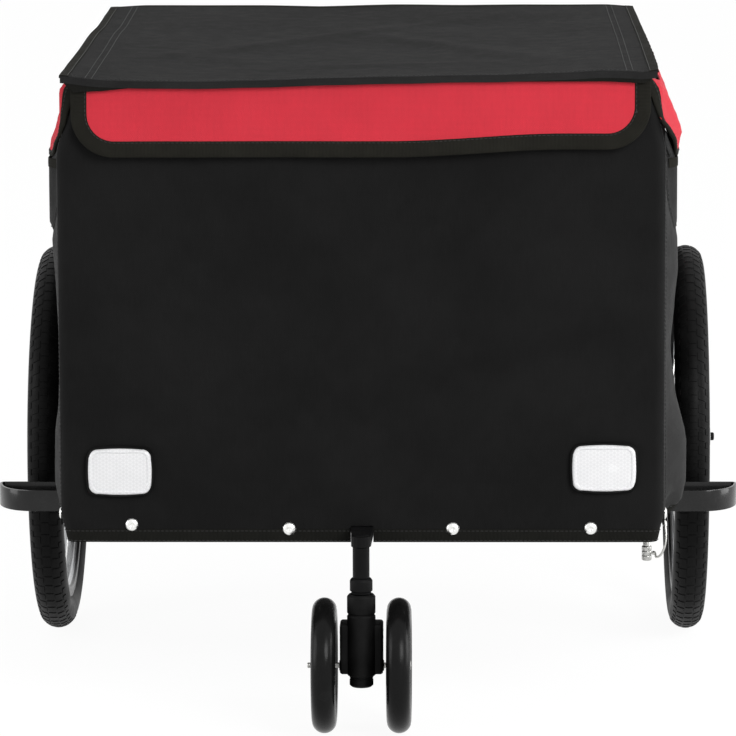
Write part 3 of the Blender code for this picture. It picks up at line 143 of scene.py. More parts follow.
class Finish(Graph):  # a material with one main shader
    def __init__(self, name, roughness, metallic=0.0, colour=(0.5, 0.5, 0.5), gloss=0.5):
        self.material = bpy.data.materials.new(name)
        self.material.use_nodes = True
        self.material.diffuse_color = (*colour, 1.0)
        super().__init__(self.material.node_tree)
        self.shader = self.tree.nodes["Principled BSDF"]
        self.roughness = roughness
        self.set("Roughness", roughness)
        self.set("Metallic", metallic)
        self.set("Base Color", colour)
        self.set("Specular IOR Level", gloss)

    def set(self, socket, value):
        self.feed(self.shader.inputs[socket], value)

    def mixColour(self, share, first, second):
        return self.add("ShaderNodeMix", {0: share, 6: first, 7: second}, {"data_type": "RGBA"}, 2)

    def paint(self, share, first, second):
        self.set("Base Color", self.mixColour(share, first, second))

    def wear(self, source, high, less, more):  # roughness that swings about the finish's own
        self.set("Roughness", self.window(source, 0.3, high, self.roughness - less, self.roughness + more))

    def relief(self, *layers):  # bumps of (height, distance, strength), the deepest first
        inputs = {}
        for height, distance, strength in layers:
            inputs.update({"Height": height, "Distance": distance, "Strength": strength})
            inputs["Normal"] = self.add("ShaderNodeBump", inputs)
        self.set("Normal", inputs["Normal"])

    def spot(self, centre=(0, 0, 0), scale=(1, 1, 1)):  # object coordinates, centred and stretched
        raw = self.add("ShaderNodeTexCoord", output="Object")
        moved = tuple(-place * size for place, size in zip(centre, scale))
        return self.add("ShaderNodeMapping", {"Vector": raw, "Location": moved, "Scale": scale})

    def cut(self, scale=(1, 1, 1)):  # places on the flat cut of a cloth, in metres
        raw = self.add("ShaderNodeUVMap", settings={"uv_map": "cut"})
        return self.add("ShaderNodeMapping", {"Vector": raw, "Scale": scale})

    def split(self, vector):
        node = self.add("ShaderNodeSeparateXYZ", {0: vector}).socket.node
        return [Wire(self, socket) for socket in node.outputs]

    def roundX(self, place):  # the way along an axle, the radius from it and the angle round it
        sideways, forward, up = self.split(place)
        radius = self.maths("SQRT", forward * forward + up * up)
        return sideways, radius, self.maths("ARCTAN2", up, forward)

    def ridges(self, place, pitch):
        return self.maths("ABSOLUTE", self.maths("SINE", place * (math.pi / pitch)))

    def grain(self, vector, scale, detail=3.0, rough=0.5, distort=0.0):
        return self.add("ShaderNodeTexNoise", {"Vector": vector, "Scale": scale, "Detail": detail,
                                               "Roughness": rough, "Distortion": distort})

    def window(self, value, low, high, toLow=0.0, toHigh=1.0):
        return self.add("ShaderNodeMapRange", {0: value, 1: low, 2: high, 3: toLow, 4: toHigh},
                        {"interpolation_type": "SMOOTHSTEP"})


# Finishes

clothLook = {
    "threadPitch": 0.0011, "weaveDepth": 0.00016, "mottleSize": 7.0, "dustSize": 55.0,
    "creaseSize": 9.0, "creaseDepth": 0.0011,
}


def tinted(colour, factor, lift=0.0):
    return tuple(min(value * factor + lift, 1.0) for value in colour)


def wovenCloth(name, colour, lift, roughness, sheen, gloss, creases=1.0):
    finish = Finish(name, roughness, gloss=gloss)
    place = finish.cut()
    pitch = clothLook["threadPitch"]
    warp, weft = [finish.maths("SINE", way * (math.pi / pitch)) for way in finish.split(place)[:2]]
    over = finish.maths("GREATER_THAN", warp * weft, 0.0)
    threads = finish.maths("ABSOLUTE", warp) * over + finish.maths("ABSOLUTE", weft) * (1.0 - over)
    mottle = finish.grain(place, clothLook["mottleSize"], 4.0, 0.6)
    dust = finish.grain(place, clothLook["dustSize"], 5.0, 0.65)
    slub = finish.grain(finish.cut((900.0, 60.0, 1.0)), 1.0, 2.0)
    shade = finish.window(mottle, 0.3, 0.7, 0.0, 0.5) + finish.window(dust, 0.35, 0.75, 0.0, 0.3)
    shade = shade + finish.window(slub, 0.3, 0.7, 0.0, 0.2)
    deep = tinted(colour, 2.0 - lift)
    body = finish.mixColour(shade, deep, tinted(colour, lift, 0.002))
    # painted shade: the colour darkens in the hollows between threads
    finish.paint(finish.window(threads, 0.0, 0.55), tinted(deep, 0.55), body)
    finish.wear(dust, 0.7, 0.07, 0.07)
    finish.set("Sheen Weight", sheen)
    finish.set("Sheen Roughness", 0.45)
    crease = finish.grain(place, clothLook["creaseSize"], 3.0, 0.45, 0.6)
    finish.relief((crease, clothLook["creaseDepth"] * creases, 0.5), (threads, clothLook["weaveDepth"], 0.7))
    return finish.material


def ribbedTape(name, colour):  # woven binding with ribs across it
    finish = Finish(name, 0.8, gloss=0.05)
    ribs = finish.ridges(finish.split(finish.cut())[0], 0.0013)
    fray = finish.grain(finish.cut((400.0, 1500.0, 1.0)), 1.0)
    worn = finish.grain(finish.cut(), 40.0, 4.0, 0.6)
    # painted shade in the grooves between ribs, mixed with lighter worn patches
    shade = finish.window(ribs, 0.0, 0.7) * 0.6 + finish.window(worn, 0.3, 0.8) * 0.4
    finish.paint(shade, tinted(colour, 0.5), tinted(colour, 1.35, 0.002))
    finish.wear(worn, 0.7, 0.08, 0.06)
    finish.relief((fray, 0.0002, 0.35), (ribs, 0.00025, 0.8))
    return finish.material


def twistedThread(name, colour):
    finish = Finish(name, 0.6)
    twist = finish.grain(finish.spot(), 1800.0, 2.0)
    finish.paint(twist, tinted(colour, 0.55), colour)
    finish.wear(twist, 0.7, 0.1, 0.12)
    return finish.material


def powderCoat(name, colour, roughness):
    finish = Finish(name, roughness, gloss=0.07)
    place = finish.spot()
    peel = finish.grain(place, 900.0, 2.0)
    patch = finish.grain(place, 24.0, 4.0, 0.6)
    rub = finish.grain(place, 130.0, 6.0, 0.7)
    shade = finish.window(patch, 0.35, 0.75) * 0.5 + finish.window(rub, 0.55, 0.8) * 0.5
    finish.paint(shade, colour, tinted(colour, 1.6, 0.002))
    finish.wear(rub, 0.75, 0.06, 0.12)
    finish.relief((peel, 0.00012, 0.4))
    return finish.material


def mouldedPlastic(name, colour, roughness, grainDepth, gloss, coat=0.0):
    finish = Finish(name, roughness, gloss=gloss)
    place = finish.spot()
    pebble = finish.add("ShaderNodeTexVoronoi", {"Vector": place, "Scale": 1300.0}, {"feature": "SMOOTH_F1"})
    haze = finish.grain(place, 35.0, 5.0, 0.65)
    scratch = finish.grain(finish.spot(scale=(60, 900, 900)), 1.0, 3.0, 0.7)
    finish.paint(finish.window(haze, 0.35, 0.8), colour, tinted(colour, 1.6, 0.003))
    marks = finish.window(haze, 0.3, 0.75, 0.0, 0.08) + finish.window(scratch, 0.62, 0.8, 0.0, 0.12)
    finish.set("Roughness", marks + roughness)
    finish.set("Coat Weight", coat)
    finish.set("Coat Roughness", 0.08)
    finish.relief((pebble, grainDepth, 0.5))
    return finish.material


def rubber(name, colour, roughness, centre, gloss):
    finish = Finish(name, roughness, gloss=gloss)
    place = finish.spot((0.0, centre.y, centre.z))
    _, radius, angle = finish.roundX(place)
    bloom = finish.grain(place, 26.0, 5.0, 0.62)
    pores = finish.grain(place, 850.0, 2.0)
    ripple = finish.maths("SINE", angle * 180.0) * finish.window(pores, 0.2, 0.8)
    dust = finish.window(bloom, 0.42, 0.8) * 0.6 + finish.window(pores, 0.4, 0.75) * 0.25
    finish.paint(dust, colour, tinted(colour, 1.8, 0.003))
    finish.wear(bloom, 0.75, 0.07, 0.1)
    rings = finish.maths("SINE", radius * 5200.0)
    finish.relief((rings, 0.00004, 0.3), (pores * 0.8 + ripple * 0.2, 0.00012, 0.45))
    return finish.material


def turnedMetal(name, colour, roughness, centre, wallFrom):  # lathe lines, and darkened side walls
    finish = Finish(name, roughness, 1.0)
    place = finish.spot((0.0, centre.y, centre.z))
    sideways, radius, angle = finish.roundX(place)
    lines = finish.add("ShaderNodeCombineXYZ", {0: radius * 2600.0, 1: sideways * 2600.0, 2: angle * 3.0})
    brush = finish.grain(lines, 1.0, 4.0, 0.6)
    film = finish.grain(place, 30.0, 4.0, 0.6)
    bare = finish.mixColour(finish.window(film, 0.3, 0.8) * 0.5 + brush * 0.5, tinted(colour, 0.72), colour)
    finish.paint(finish.window(radius, wallFrom, wallFrom + 0.0008), bare, (0.012, 0.012, 0.013))
    finish.wear(brush, 0.7, 0.08, 0.14)
    finish.relief((brush, 0.00005, 0.4))
    return finish.material


def platedSteel(name, colour, roughness, spangle):
    finish = Finish(name, roughness, 1.0)
    place = finish.spot()
    film = finish.grain(place, 60.0, 5.0, 0.6)
    cells = finish.add("ShaderNodeTexVoronoi", {"Vector": place, "Scale": 420.0})
    shade = finish.window(film, 0.3, 0.8) * 0.6 + finish.window(cells, 0.1, 0.7) * 0.4
    finish.paint(shade, tinted(colour, 1.0 - spangle), colour)
    finish.wear(film, 0.75, 0.05, 0.15)
    finish.relief((film, 0.00006, 0.3))
    return finish.material


def lens(name, colour, deep):  # moulded prisms under a clear skin
    finish = Finish(name, 0.22)
    place = finish.spot()
    across, _, up = finish.split(place)
    ways = (across, across * 0.5 + up * 0.866, across * 0.5 - up * 0.866)
    first, second, third = [finish.ridges(way, 0.0032) for way in ways]
    prisms = first * second * third
    haze = finish.grain(place, 45.0, 4.0, 0.6)
    # painted shade along the grooves between the prisms, over an uneven haze of tone
    finish.paint(finish.window(prisms, 0.0, 0.45) * 0.7 + finish.window(haze, 0.3, 0.7) * 0.3, deep, colour)
    finish.wear(haze, 0.7, 0.06, 0.06)
    finish.set("Coat Weight", 0.6)
    finish.set("Coat Roughness", 0.05)
    finish.relief((prisms, 0.0002, 0.35))
    return finish.material


def boardFace(name, colour):
    finish = Finish(name, 0.7)
    fibre = finish.grain(finish.spot(scale=(1.0, 0.12, 1.0)), 260.0, 5.0, 0.65)
    patch = finish.grain(finish.spot(), 12.0, 4.0, 0.6)
    shade = finish.window(fibre, 0.35, 0.7) * 0.6 + finish.window(patch, 0.3, 0.7) * 0.4
    finish.paint(shade, colour, tinted(colour, 2.2, 0.006))
    finish.wear(patch, 0.7, 0.1, 0.1)
    finish.relief((fibre, 0.0002, 0.5))
    return finish.material


looks = {
    # One black polyester in three tones: darker on the front and rear cloth for painted shade, lighter on the
    # sides and lighter still on the roof for painted light.
    "shadedEndCloth": wovenCloth("front_polyester", (0.0088, 0.0088, 0.0088), 1.3, 0.78, 0.02, 0.06),
    "sideCloth": wovenCloth("side_polyester", (0.013, 0.013, 0.013), 1.25, 0.7, 0.04, 0.08),
    "topLitRoofCloth": wovenCloth("roof_polyester", (0.021, 0.021, 0.021), 1.25, 0.75, 0.0, 0.03),
    "redCloth": wovenCloth("red_polyester", (0.62, 0.033, 0.052), 1.1, 0.8, 0.05, 0.15, 0.6),
    "binding": ribbedTape("binding_tape", (0.0125, 0.012, 0.0095)),
    "webbing": ribbedTape("hem_webbing", (0.0082, 0.0082, 0.0070)),
    "thread": twistedThread("black_thread", (0.022, 0.022, 0.022)),
    "powder": powderCoat("black_powder_coat", (0.0050, 0.0050, 0.0052), 0.45),
    "gloss": mouldedPlastic("gloss_guard", (0.008, 0.008, 0.008), 0.22, 0.00002, 0.22, 0.2),
    "plastic": mouldedPlastic("grained_plastic", (0.0040, 0.0040, 0.0040), 0.48, 0.0001, 0.08),
    "tyre": rubber("tyre_rubber", (0.0045, 0.0045, 0.0045), 0.46, wheelAt, 0.06),
    "casterTyre": rubber("caster_rubber", (0.0055, 0.0055, 0.0055), 0.24, casterAt, 0.10),
    "rim": turnedMetal("satin_rim", (0.66, 0.67, 0.68), 0.3, wheelAt, 0.1558),
    "steel": platedSteel("bright_steel", (0.66, 0.66, 0.66), 0.2, 0.2),
    "zinc": platedSteel("zinc_plate", (0.62, 0.62, 0.60), 0.34, 0.35),
    "nickel": platedSteel("nickel_snap", (0.92, 0.92, 0.90), 0.3, 0.08),
    "board": boardFace("floor_board", (0.014, 0.013, 0.012)),
    "whiteLens": lens("white_lens", (0.82, 0.82, 0.83), (0.72, 0.72, 0.73)),
    "redLens": lens("red_lens", (0.55, 0.012, 0.014), (0.28, 0.006, 0.008)),
}
print("finishes made:", len(looks))


# Mesh helpers

def smooth(mesh, sharp):
    mesh.shade_smooth()
    mesh.set_sharp_from_angle(angle=math.radians(sharp))


def newPiece(name, builder, look, sharp=32):
    mesh = bpy.data.meshes.new(name)
    builder.to_mesh(mesh)
    builder.free()
    smooth(mesh, sharp)
    mesh.materials.append(looks[look] if isinstance(look, str) else look)
    piece = bpy.data.objects.new(name, mesh)
    bpy.context.scene.collection.objects.link(piece)
    return piece


def settle(piece, sharp=32):  # turns the modifiers' result into the piece's own mesh
    graph = bpy.context.evaluated_depsgraph_get()
    graph.update()
    made = bpy.data.meshes.new_from_object(piece.evaluated_get(graph), preserve_all_data_layers=True,
                                           depsgraph=graph)
    piece.modifiers.clear()
    piece.data = made
    made.name = piece.name
    smooth(made, sharp)
    return piece


def hold(piece, body, slot, *nodes):
    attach(piece, body)
    if nodes:
        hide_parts(*nodes)
    return piece


def fill(stops, step):  # places through the stops, no further apart than the step
    places = [stops[0]]
    for low, high in zip(stops, stops[1:]):
        count = max(1, math.ceil((high - low) / step - 1e-6))
        places += [low + (high - low) * index / count for index in range(1, count + 1)]
    return places


def level(height, low, high, step):  # a level line of places on a cloth's cut
    return [(place, height) for place in fill([low, high], step)]


def upright(place, low, high, step):
    return [(place, height) for height in fill([low, high], step)]


def ease(low, high, value):  # 0 at low and 1 at high, whichever of them is the larger
    share = min(max((value - low) / (high - low), 0.0), 1.0)
    return share * share * (3 - 2 * share)


def easeFrom(value, start, span):  # ease over a span of (low, high) counted from the start
    return ease(start + span[0], start + span[1], value)


def between(stops, place):  # an even line through stops of (place, value) that were read off
    low = stops[0]
    for high in stops[1:]:
        if place <= high[0]:
            share = ease(low[0], high[0], place) * 0.5
            share += 0.5 * min(max((place - low[0]) / (high[0] - low[0]), 0.0), 1.0)
            return low[1] + (high[1] - low[1]) * share
        low = high
    return low[1]


def through(points, spans):  # a smooth curve through given points
    points = [Vector(point) for point in points]
    padded = [2 * points[0] - points[1]] + points + [2 * points[-1] - points[-2]]
    made = []
    for index in range(1, len(padded) - 2):
        before, here, after, beyond = padded[index - 1:index + 3]
        for step in range(spans):
            share = step / spans
            square, cube = share ** 2, share ** 3
            made.append(0.5 * (2 * here + (after - before) * share
                               + (2 * before - 5 * here + 4 * after - beyond) * square
                               + (3 * here - before - 3 * after + beyond) * cube))
    made.append(points[-1])
    return made


def outward(builder):
    bmesh.ops.recalc_face_normals(builder, faces=builder.faces)
    return builder


def skin(builder, rings, closed=False, capped=False):  # faces from ring to ring, with the place of each
    made = []
    for index, (low, high) in enumerate(zip(rings, rings[1:] + (rings[:1] if closed else []))):
        for spot in range(max(len(low), len(high))):
            corners = [ring[place % len(ring)]
                       for ring, place in ((low, spot), (low, spot + 1), (high, spot + 1), (high, spot))]
            corners = list(dict.fromkeys(corners))  # beside a pole two of them are the same
            if len(corners) > 2:
                made.append((builder.faces.new(corners), index, spot))
    if capped:
        builder.faces.new(rings[0][::-1])
        builder.faces.new(rings[-1])
    return made


def squareTo(along):  # one of the directions square to a line
    helper = Vector((0, 0, 1)) if abs(along.z) < 0.9 else Vector((1, 0, 0))
    return helper.cross(along).normalized()


onAxis = 1e-7  # an outline's point nearer than this lies on the axis


def turned(outline, centre, direction, steps):  # an outline of (radius, place) turned about an axis
    along = Vector(direction).normalized()
    first = squareTo(along)
    second = along.cross(first)
    builder = bmesh.new()
    rings = []
    for radius, place in outline:
        ring = []
        for step in range(steps if radius > onAxis else 1):
            angle = 2 * math.pi * step / steps
            spoke = first * math.cos(angle) + second * math.sin(angle)
            ring.append(builder.verts.new(Vector(centre) + along * place + spoke * radius))
        rings.append(ring)
    skin(builder, rings, outline[0][0] > onAxis)
    return outward(builder)


def rounded(outline, radius):  # rounds the corners of an outline that aren't on the axis
    made = []
    for index, corner in enumerate(outline):
        here = Vector(corner)
        if here.x < onAxis:
            made.append(tuple(here))
            continue
        back = Vector(outline[index - 1]) - here
        ahead = Vector(outline[(index + 1) % len(outline)]) - here
        cut = min(radius, back.length * 0.45, ahead.length * 0.45)
        start = here + back.normalized() * cut
        end = here + ahead.normalized() * cut
        for share in (0.0, 0.5, 1.0):
            made.append(tuple(start * (1 - share) ** 2 + here * 2 * share * (1 - share) + end * share ** 2))
    return made


def lathe(name, outline, centre, way, steps, look, soften=0.0, sharp=32):  # a turned piece
    outline = rounded(outline, soften) if soften else outline
    return newPiece(name, turned(outline, centre, way, steps), look, sharp)


def lengths(points):  # how far along a line each of its points lies
    runs = [0.0]
    for before, here in zip(points, points[1:]):
        runs.append(runs[-1] + (here - before).length)
    return runs


def swept(stations, section, look, name, closed=False, sharp=40, lay=None):
    # each station is (place, sideways, up); the section is a loop of (sideways, up) points
    builder = bmesh.new()
    uvLayer = builder.loops.layers.uv.new("cut")
    rings = []
    for index, (place, sideways, up) in enumerate(stations):
        rings.append([builder.verts.new(lay(index, a, b) if lay else place + sideways * a + up * b)
                      for a, b in section])
    runs = lengths([station[0] for station in stations + stations[:1]])
    girth = lengths([Vector(point) for point in section + section[:1]])
    for face, index, spot in skin(builder, rings, closed, not closed):
        uvs = ((index, spot), (index, spot + 1), (index + 1, spot + 1), (index + 1, spot))
        for loop, (run, around) in zip(face.loops, uvs):
            loop[uvLayer].uv = (runs[run], girth[around])
    return newPiece(name, outward(builder), look, sharp)


def tube(name, points, radius, look, steps=10):  # a round bar through points
    points = [Vector(point) for point in points]
    sideways = squareTo((points[1] - points[0]).normalized())
    stations = []
    for index, point in enumerate(points):
        tangent = (points[min(index + 1, len(points) - 1)] - points[max(index - 1, 0)]).normalized()
        sideways = (sideways - tangent * sideways.dot(tangent)).normalized()
        stations.append((point, sideways, tangent.cross(sideways)))
    angles = [2 * math.pi * step / steps for step in range(steps)]
    section = [(radius * math.cos(angle), radius * math.sin(angle)) for angle in angles]
    return swept(stations, section, look, name)


def merged(pieces):  # takes the pieces' meshes into one builder
    builder = bmesh.new()
    for piece in pieces:
        builder.from_mesh(piece.data)
        bpy.data.objects.remove(piece)
    return builder


def joined(name, pieces):  # several pieces as one, with the finish of the first
    look = pieces[0].data.materials[0]
    return newPiece(name, merged(pieces), look)


def mirrored(side):  # the outline of something that is the same on both sides
    return [(size, -place) for size, place in reversed(side)] + side


# Geometry node trees

class Growth(Graph):  # a geometry tree with named inputs
    def __init__(self, name, sockets):
        super().__init__(bpy.data.node_groups.new(name, "GeometryNodeTree"))
        face = self.tree.interface
        face.new_socket(name="Geometry", in_out="OUTPUT", socket_type="NodeSocketGeometry")
        face.new_socket(name="Geometry", in_out="INPUT", socket_type="NodeSocketGeometry")
        self.keys = {}
        for label, kind in sockets.items():
            made = face.new_socket(name=label, in_out="INPUT", socket_type="NodeSocket" + kind)
            self.keys[label] = made.identifier
        entry = self.tree.nodes.new("NodeGroupInput")
        self.given = {socket.name: Wire(self, socket) for socket in entry.outputs if socket.name}

    def close(self, shape):
        whole = self.add("GeometryNodeRealizeInstances", {"Geometry": shape})
        painted = self.add("GeometryNodeSetMaterial", {"Geometry": whole, "Material": self.given["Material"]})
        self.feed(self.tree.nodes.new("NodeGroupOutput").inputs[0], painted)
        return self

    def grow(self, piece, values, sharp=32):
        modifier = piece.modifiers.new(self.tree.name, "NODES")
        modifier.node_group = self.tree
        for label, value in values.items():
            modifier[self.keys[label]] = value
        return settle(piece, sharp)


def stitchTree():  # one grain-shaped stitch at each step of a seam line
    tree = Growth("stitches", {"Pitch": "Float", "Stitch": "Float", "Thread": "Float",
                               "Material": "Material"})
    line = tree.add("GeometryNodeMeshToCurve", {"Mesh": tree.given["Geometry"]})
    steps = tree.add("GeometryNodeResampleCurve", {"Curve": line, "Length": tree.given["Pitch"]},
                     {"mode": "LENGTH"})
    grain = tree.add("GeometryNodeMeshUVSphere", {"Segments": 6, "Rings": 4, "Radius": 1.0})
    turn = tree.add("FunctionNodeAlignRotationToVector", {"Vector": tree.add("GeometryNodeInputTangent")},
                    {"axis": "Z"})
    size = tree.add("ShaderNodeCombineXYZ", {0: tree.given["Thread"], 1: tree.given["Thread"],
                                             2: tree.given["Stitch"] * 0.5})
    return tree.close(tree.add("GeometryNodeInstanceOnPoints", {"Points": steps, "Instance": grain,
                                                                "Rotation": turn, "Scale": size}))


def ringTree():  # copies of one segment round the X axis, moved to the wheel's centre
    tree = Growth("round_the_wheel", {"Count": "Int", "Centre": "Vector", "Material": "Material"})
    points = tree.add("GeometryNodePoints", {"Count": tree.given["Count"]})
    angle = tree.add("GeometryNodeInputIndex") * (2 * math.pi) / tree.given["Count"]
    turn = tree.add("FunctionNodeEulerToRotation", {0: tree.add("ShaderNodeCombineXYZ", {0: angle})})
    ring = tree.add("GeometryNodeInstanceOnPoints", {"Points": points, "Rotation": turn,
                                                     "Instance": tree.given["Geometry"]})
    moved = tree.add("GeometryNodeTransform", {"Geometry": ring, "Translation": tree.given["Centre"]})
    return tree.close(moved)


stitches = stitchTree()
wheelRing = ringTree()
seamLook = {"Pitch": 0.0042, "Stitch": 0.0034, "Thread": 0.00034}


def stitchRows(name, body, rows):
    builder = bmesh.new()
    for row in rows:
        verts = [builder.verts.new(point) for point in row]
        for first, second in zip(verts, verts[1:]):
            builder.edges.new((first, second))
    piece = newPiece(name, builder, "thread")
    stitches.grow(piece, {**seamLook, "Material": looks["thread"]})
    hold(piece, body, "black_cloth")


def ringOf(name, builder, count, centre, look, sharp=32):
    piece = newPiece(name, builder, look)
    return wheelRing.grow(piece, {"Count": count, "Centre": centre, "Material": looks[look]}, sharp)


# Cloth helpers

class ClothFace:  # a cloth surface given by two places on its flat cut
    reach = 0.0004

    def __init__(self, spot, facing):
        self.spot = spot
        self.facing = Vector(facing)

    def normal(self, u, v):
        first = self.spot(u + self.reach, v) - self.spot(u - self.reach, v)
        second = self.spot(u, v + self.reach) - self.spot(u, v - self.reach)
        straight = first.cross(second).normalized()
        return straight if straight.dot(self.facing) > 0 else -straight

    def at(self, u, v, lift=0.0):
        place = self.spot(u, v)
        return place + self.normal(u, v) * lift if lift else place

    def inward(self, u, v, du, dv):  # the way over the cloth for a step on its cut
        return (self.spot(u + du * self.reach, v + dv * self.reach) - self.spot(u, v)).normalized()


def sheetOf(name, rows, facing, look, thick, even=False, gone=None):
    # rows of (place, place on the cut); where gone is true there is no cloth
    builder = bmesh.new()
    uvLayer = builder.loops.layers.uv.new("cut")
    grid = [[(builder.verts.new(place), cut) for place, cut in row] for row in rows]
    for low, high in zip(grid, grid[1:]):
        for column in range(len(low) - 1):
            corners = (low[column], low[column + 1], high[column + 1], high[column])
            if gone and gone(*[(a + b) / 2 for a, b in zip(corners[0][1], corners[2][1])]):
                continue
            patch = builder.faces.new([vert for vert, _ in corners])
            for loop, (_, cut) in zip(patch.loops, corners):
                loop[uvLayer].uv = cut
    bmesh.ops.delete(builder, geom=[vert for vert in builder.verts if not vert.link_faces], context="VERTS")
    builder.normal_update()
    if sum(patch.normal.dot(facing) for patch in builder.faces) < 0:
        bmesh.ops.reverse_faces(builder, faces=builder.faces)
    piece = newPiece(name, builder, look)
    wall = piece.modifiers.new("thickness", "SOLIDIFY")
    wall.thickness = thick
    wall.offset = -1.0
    wall.use_even_offset = even
    return settle(piece, 50)


def clothSheet(name, face, us, vs, look, thick=0.0014, gone=None):
    rows = [[(face.at(u, v), (u, v)) for u in us] for v in vs]
    return sheetOf(name, rows, face.facing, look, thick, True, gone)


def bandOn(name, face, path, width, look, under=0.0004, over=0.0006):
    # a tape laid on the cloth along a path of (u, v), centred on it
    stations = []
    for index, (u, v) in enumerate(path):
        ahead, behind = path[min(index + 1, len(path) - 1)], path[max(index - 1, 0)]
        du, dv = ahead[0] - behind[0], ahead[1] - behind[1]
        size = math.hypot(du, dv)
        stations.append((face.at(u, v), face.inward(u, v, -dv / size, du / size), face.normal(u, v)))
    half, soft = width / 2, 0.0003
    section = [(-half, -under), (-half, over - soft), (soft - half, over), (0.0, over + soft / 2),
               (half - soft, over), (half, over - soft), (half, -under)]
    return swept(stations, section, look, name)


def hemOn(name, face, parts, bottom, width, step, over=0.0006):  # webbing along the lower edge
    middle = bottom + width / 2
    tapes = [bandOn("tape", face, level(middle, low, high, step), width, "webbing", 0.0016, over)
             for low, high in parts]
    return hold(joined(name, tapes), "chassis", "black_cloth")


def seamLine(face, path, lift=0.0004):
    return [face.at(u, v, lift) for u, v in path]


# Camera and lights

view = {
    "place": (0.1043, -5.0, 1.0698), "lens": 244.03, "sensor": 36.0,
    "pitch": math.radians(8.802), "yaw": math.radians(1.201), "roll": math.radians(-0.204),
}
studio = {
    "skyGlow": 0.50, "floorGrey": 0.82, "floorSize": 60.0, "floorKeep": 0.90, "floorGlow": 1.05,
    "floorDrop": 0.0005, "aim": (0.0, 0.0, 0.35),
    "key": ((2.2, -3.2, 2.4), 1.8, 112.0), "right": ((3.0, 0.2, 0.9), 1.6, 40.0),
    "left": ((-3.0, -0.6, 1.0), 1.6, 30.0),
}


def makeCamera():
    data = bpy.data.cameras.new("camera")
    data.lens = view["lens"]
    data.sensor_width = view["sensor"]
    data.clip_end = 60.0
    camera = bpy.data.objects.new("camera", data)
    camera.location = view["place"]
    aimed = Euler((math.pi / 2 - view["pitch"], 0.0, view["yaw"])).to_matrix()
    camera.rotation_euler = (aimed @ Matrix.Rotation(view["roll"], 3, "Z")).to_euler()
    bpy.context.scene.collection.objects.link(camera)
    bpy.context.scene.camera = camera


def softLamp(name, place, size, power):
    data = bpy.data.lights.new(name, "AREA")
    data.shape = "SQUARE"
    data.size = size
    data.energy = power
    lamp = bpy.data.objects.new(name, data)
    lamp.location = place
    lamp.rotation_euler = (Vector(studio["aim"]) - Vector(place)).to_track_quat("-Z", "Y").to_euler()
    bpy.context.scene.collection.objects.link(lamp)


def makeStudio():
    world = bpy.data.worlds.new("studio")
    bpy.context.scene.world = world
    world.use_nodes = True
    graph = Graph(world.node_tree)
    ground = world.node_tree.nodes["Background"]
    graph.feed(ground.inputs["Color"], (1.0, 1.0, 1.0))
    glow = studio["skyGlow"]
    graph.feed(ground.inputs["Strength"], graph.seenStraight() * (1.0 - glow) + glow)
    bpy.context.scene.view_settings.view_transform = "Standard"
    for word in ("key", "right", "left"):
        softLamp(word + "_lamp", *studio[word])


def makeFloor():
    finish = Finish("studio_floor", 0.9, 0.0, (studio["floorGrey"],) * 3)
    glow = finish.add("ShaderNodeEmission", {"Color": (1.0, 1.0, 1.0), "Strength": studio["floorGlow"]})
    plain = Wire(finish, finish.shader.outputs[0])
    share = finish.seenStraight() * studio["floorKeep"]
    mixed = finish.add("ShaderNodeMixShader", {0: share, 1: plain, 2: glow})
    finish.feed(finish.tree.nodes["Material Output"].inputs["Surface"], mixed)
    half = studio["floorSize"] / 2
    builder = bmesh.new()
    builder.faces.new([builder.verts.new((x * half, y * half, -studio["floorDrop"]))
                       for x, y in ((-1, -1), (1, -1), (1, 1), (-1, 1))])
    newPiece("studio_floor", builder, finish.material)


makeCamera()
makeStudio()
makeFloor()
print("camera, lights and floor placed")


# Front and rear cloth. A fold is (place, height, half length, half width, degrees of turn, rise).

endCloth = {
    "corner": 0.0105, "hemWidth": 0.0125, "step": 0.009, "seamInset": 0.0016, "ripple": 0.0005,
    "pulledIn": 0.0060, "pulledUpTo": 0.206, "archHalf": 0.0107,
    "archTop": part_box("caster_arm")[1].z + 0.0008, "foldsFrom": (0.089, 0.169), "foldsTo": (-0.08, -0.01),
    "rippleFrom": (0.05, 0.12), "edgeCalm": 0.05,
    "sideDraw": ((0.570, 0.0), (0.580, 0.0010), (0.585, 0.0026), (0.590, 0.0047), (0.598, 0.0100)),
    "leftDraw": ((0.550, 0.0), (0.585, 0.0060), (0.600, 0.0120), (0.6107, 0.0180)),
    "rightDraw": ((0.550, 0.0), (0.585, 0.0095), (0.600, 0.0155), (0.6107, 0.0200)),
    "frontFolds": (
        (0.195, 0.192, 0.110, 0.016, 22, 0.0050), (0.175, 0.156, 0.120, 0.024, 20, -0.0060),
        (-0.175, 0.100, 0.035, 0.010, -32, 0.0030), (-0.080, 0.134, 0.140, 0.045, -55, -0.0040),
        (0.020, 0.054, 0.090, 0.050, 8, -0.0050), (-0.020, 0.254, 0.200, 0.050, 12, -0.0030),
        (0.215, 0.060, 0.030, 0.090, 14, 0.0018), (-0.225, 0.215, 0.020, 0.120, -6, 0.0015),
    ),
    "rearFolds": (
        (-0.120, 0.184, 0.140, 0.024, 28, 0.0050), (0.150, 0.104, 0.110, 0.030, -25, -0.0050),
        (0.020, 0.250, 0.160, 0.040, -14, -0.0030),
    ),
}
flatHalf = sideX - endCloth["corner"]  # where the cloth starts to turn the corner


def foldRise(folds, along, height):  # how far the cloth stands off its plane
    rise = 0.0
    for place, middle, halfLong, halfWide, degrees, amount in folds:
        across, up, turn = along - place, height - middle, math.radians(degrees)
        run = across * math.cos(turn) + up * math.sin(turn)
        side = up * math.cos(turn) - across * math.sin(turn)
        rise += amount * math.exp(-((run / halfLong) ** 2) - (side / halfWide) ** 2)
    return rise


def drawnIn(word, y, height):  # how far the side leans in under the roof, and further at its front corner
    front = ease(frontY + 0.032, frontY + 0.010, y)
    atCorner, behind = between(endCloth[word + "Draw"], height), between(endCloth["sideDraw"], height)
    return atCorner * front + behind * (1 - front)


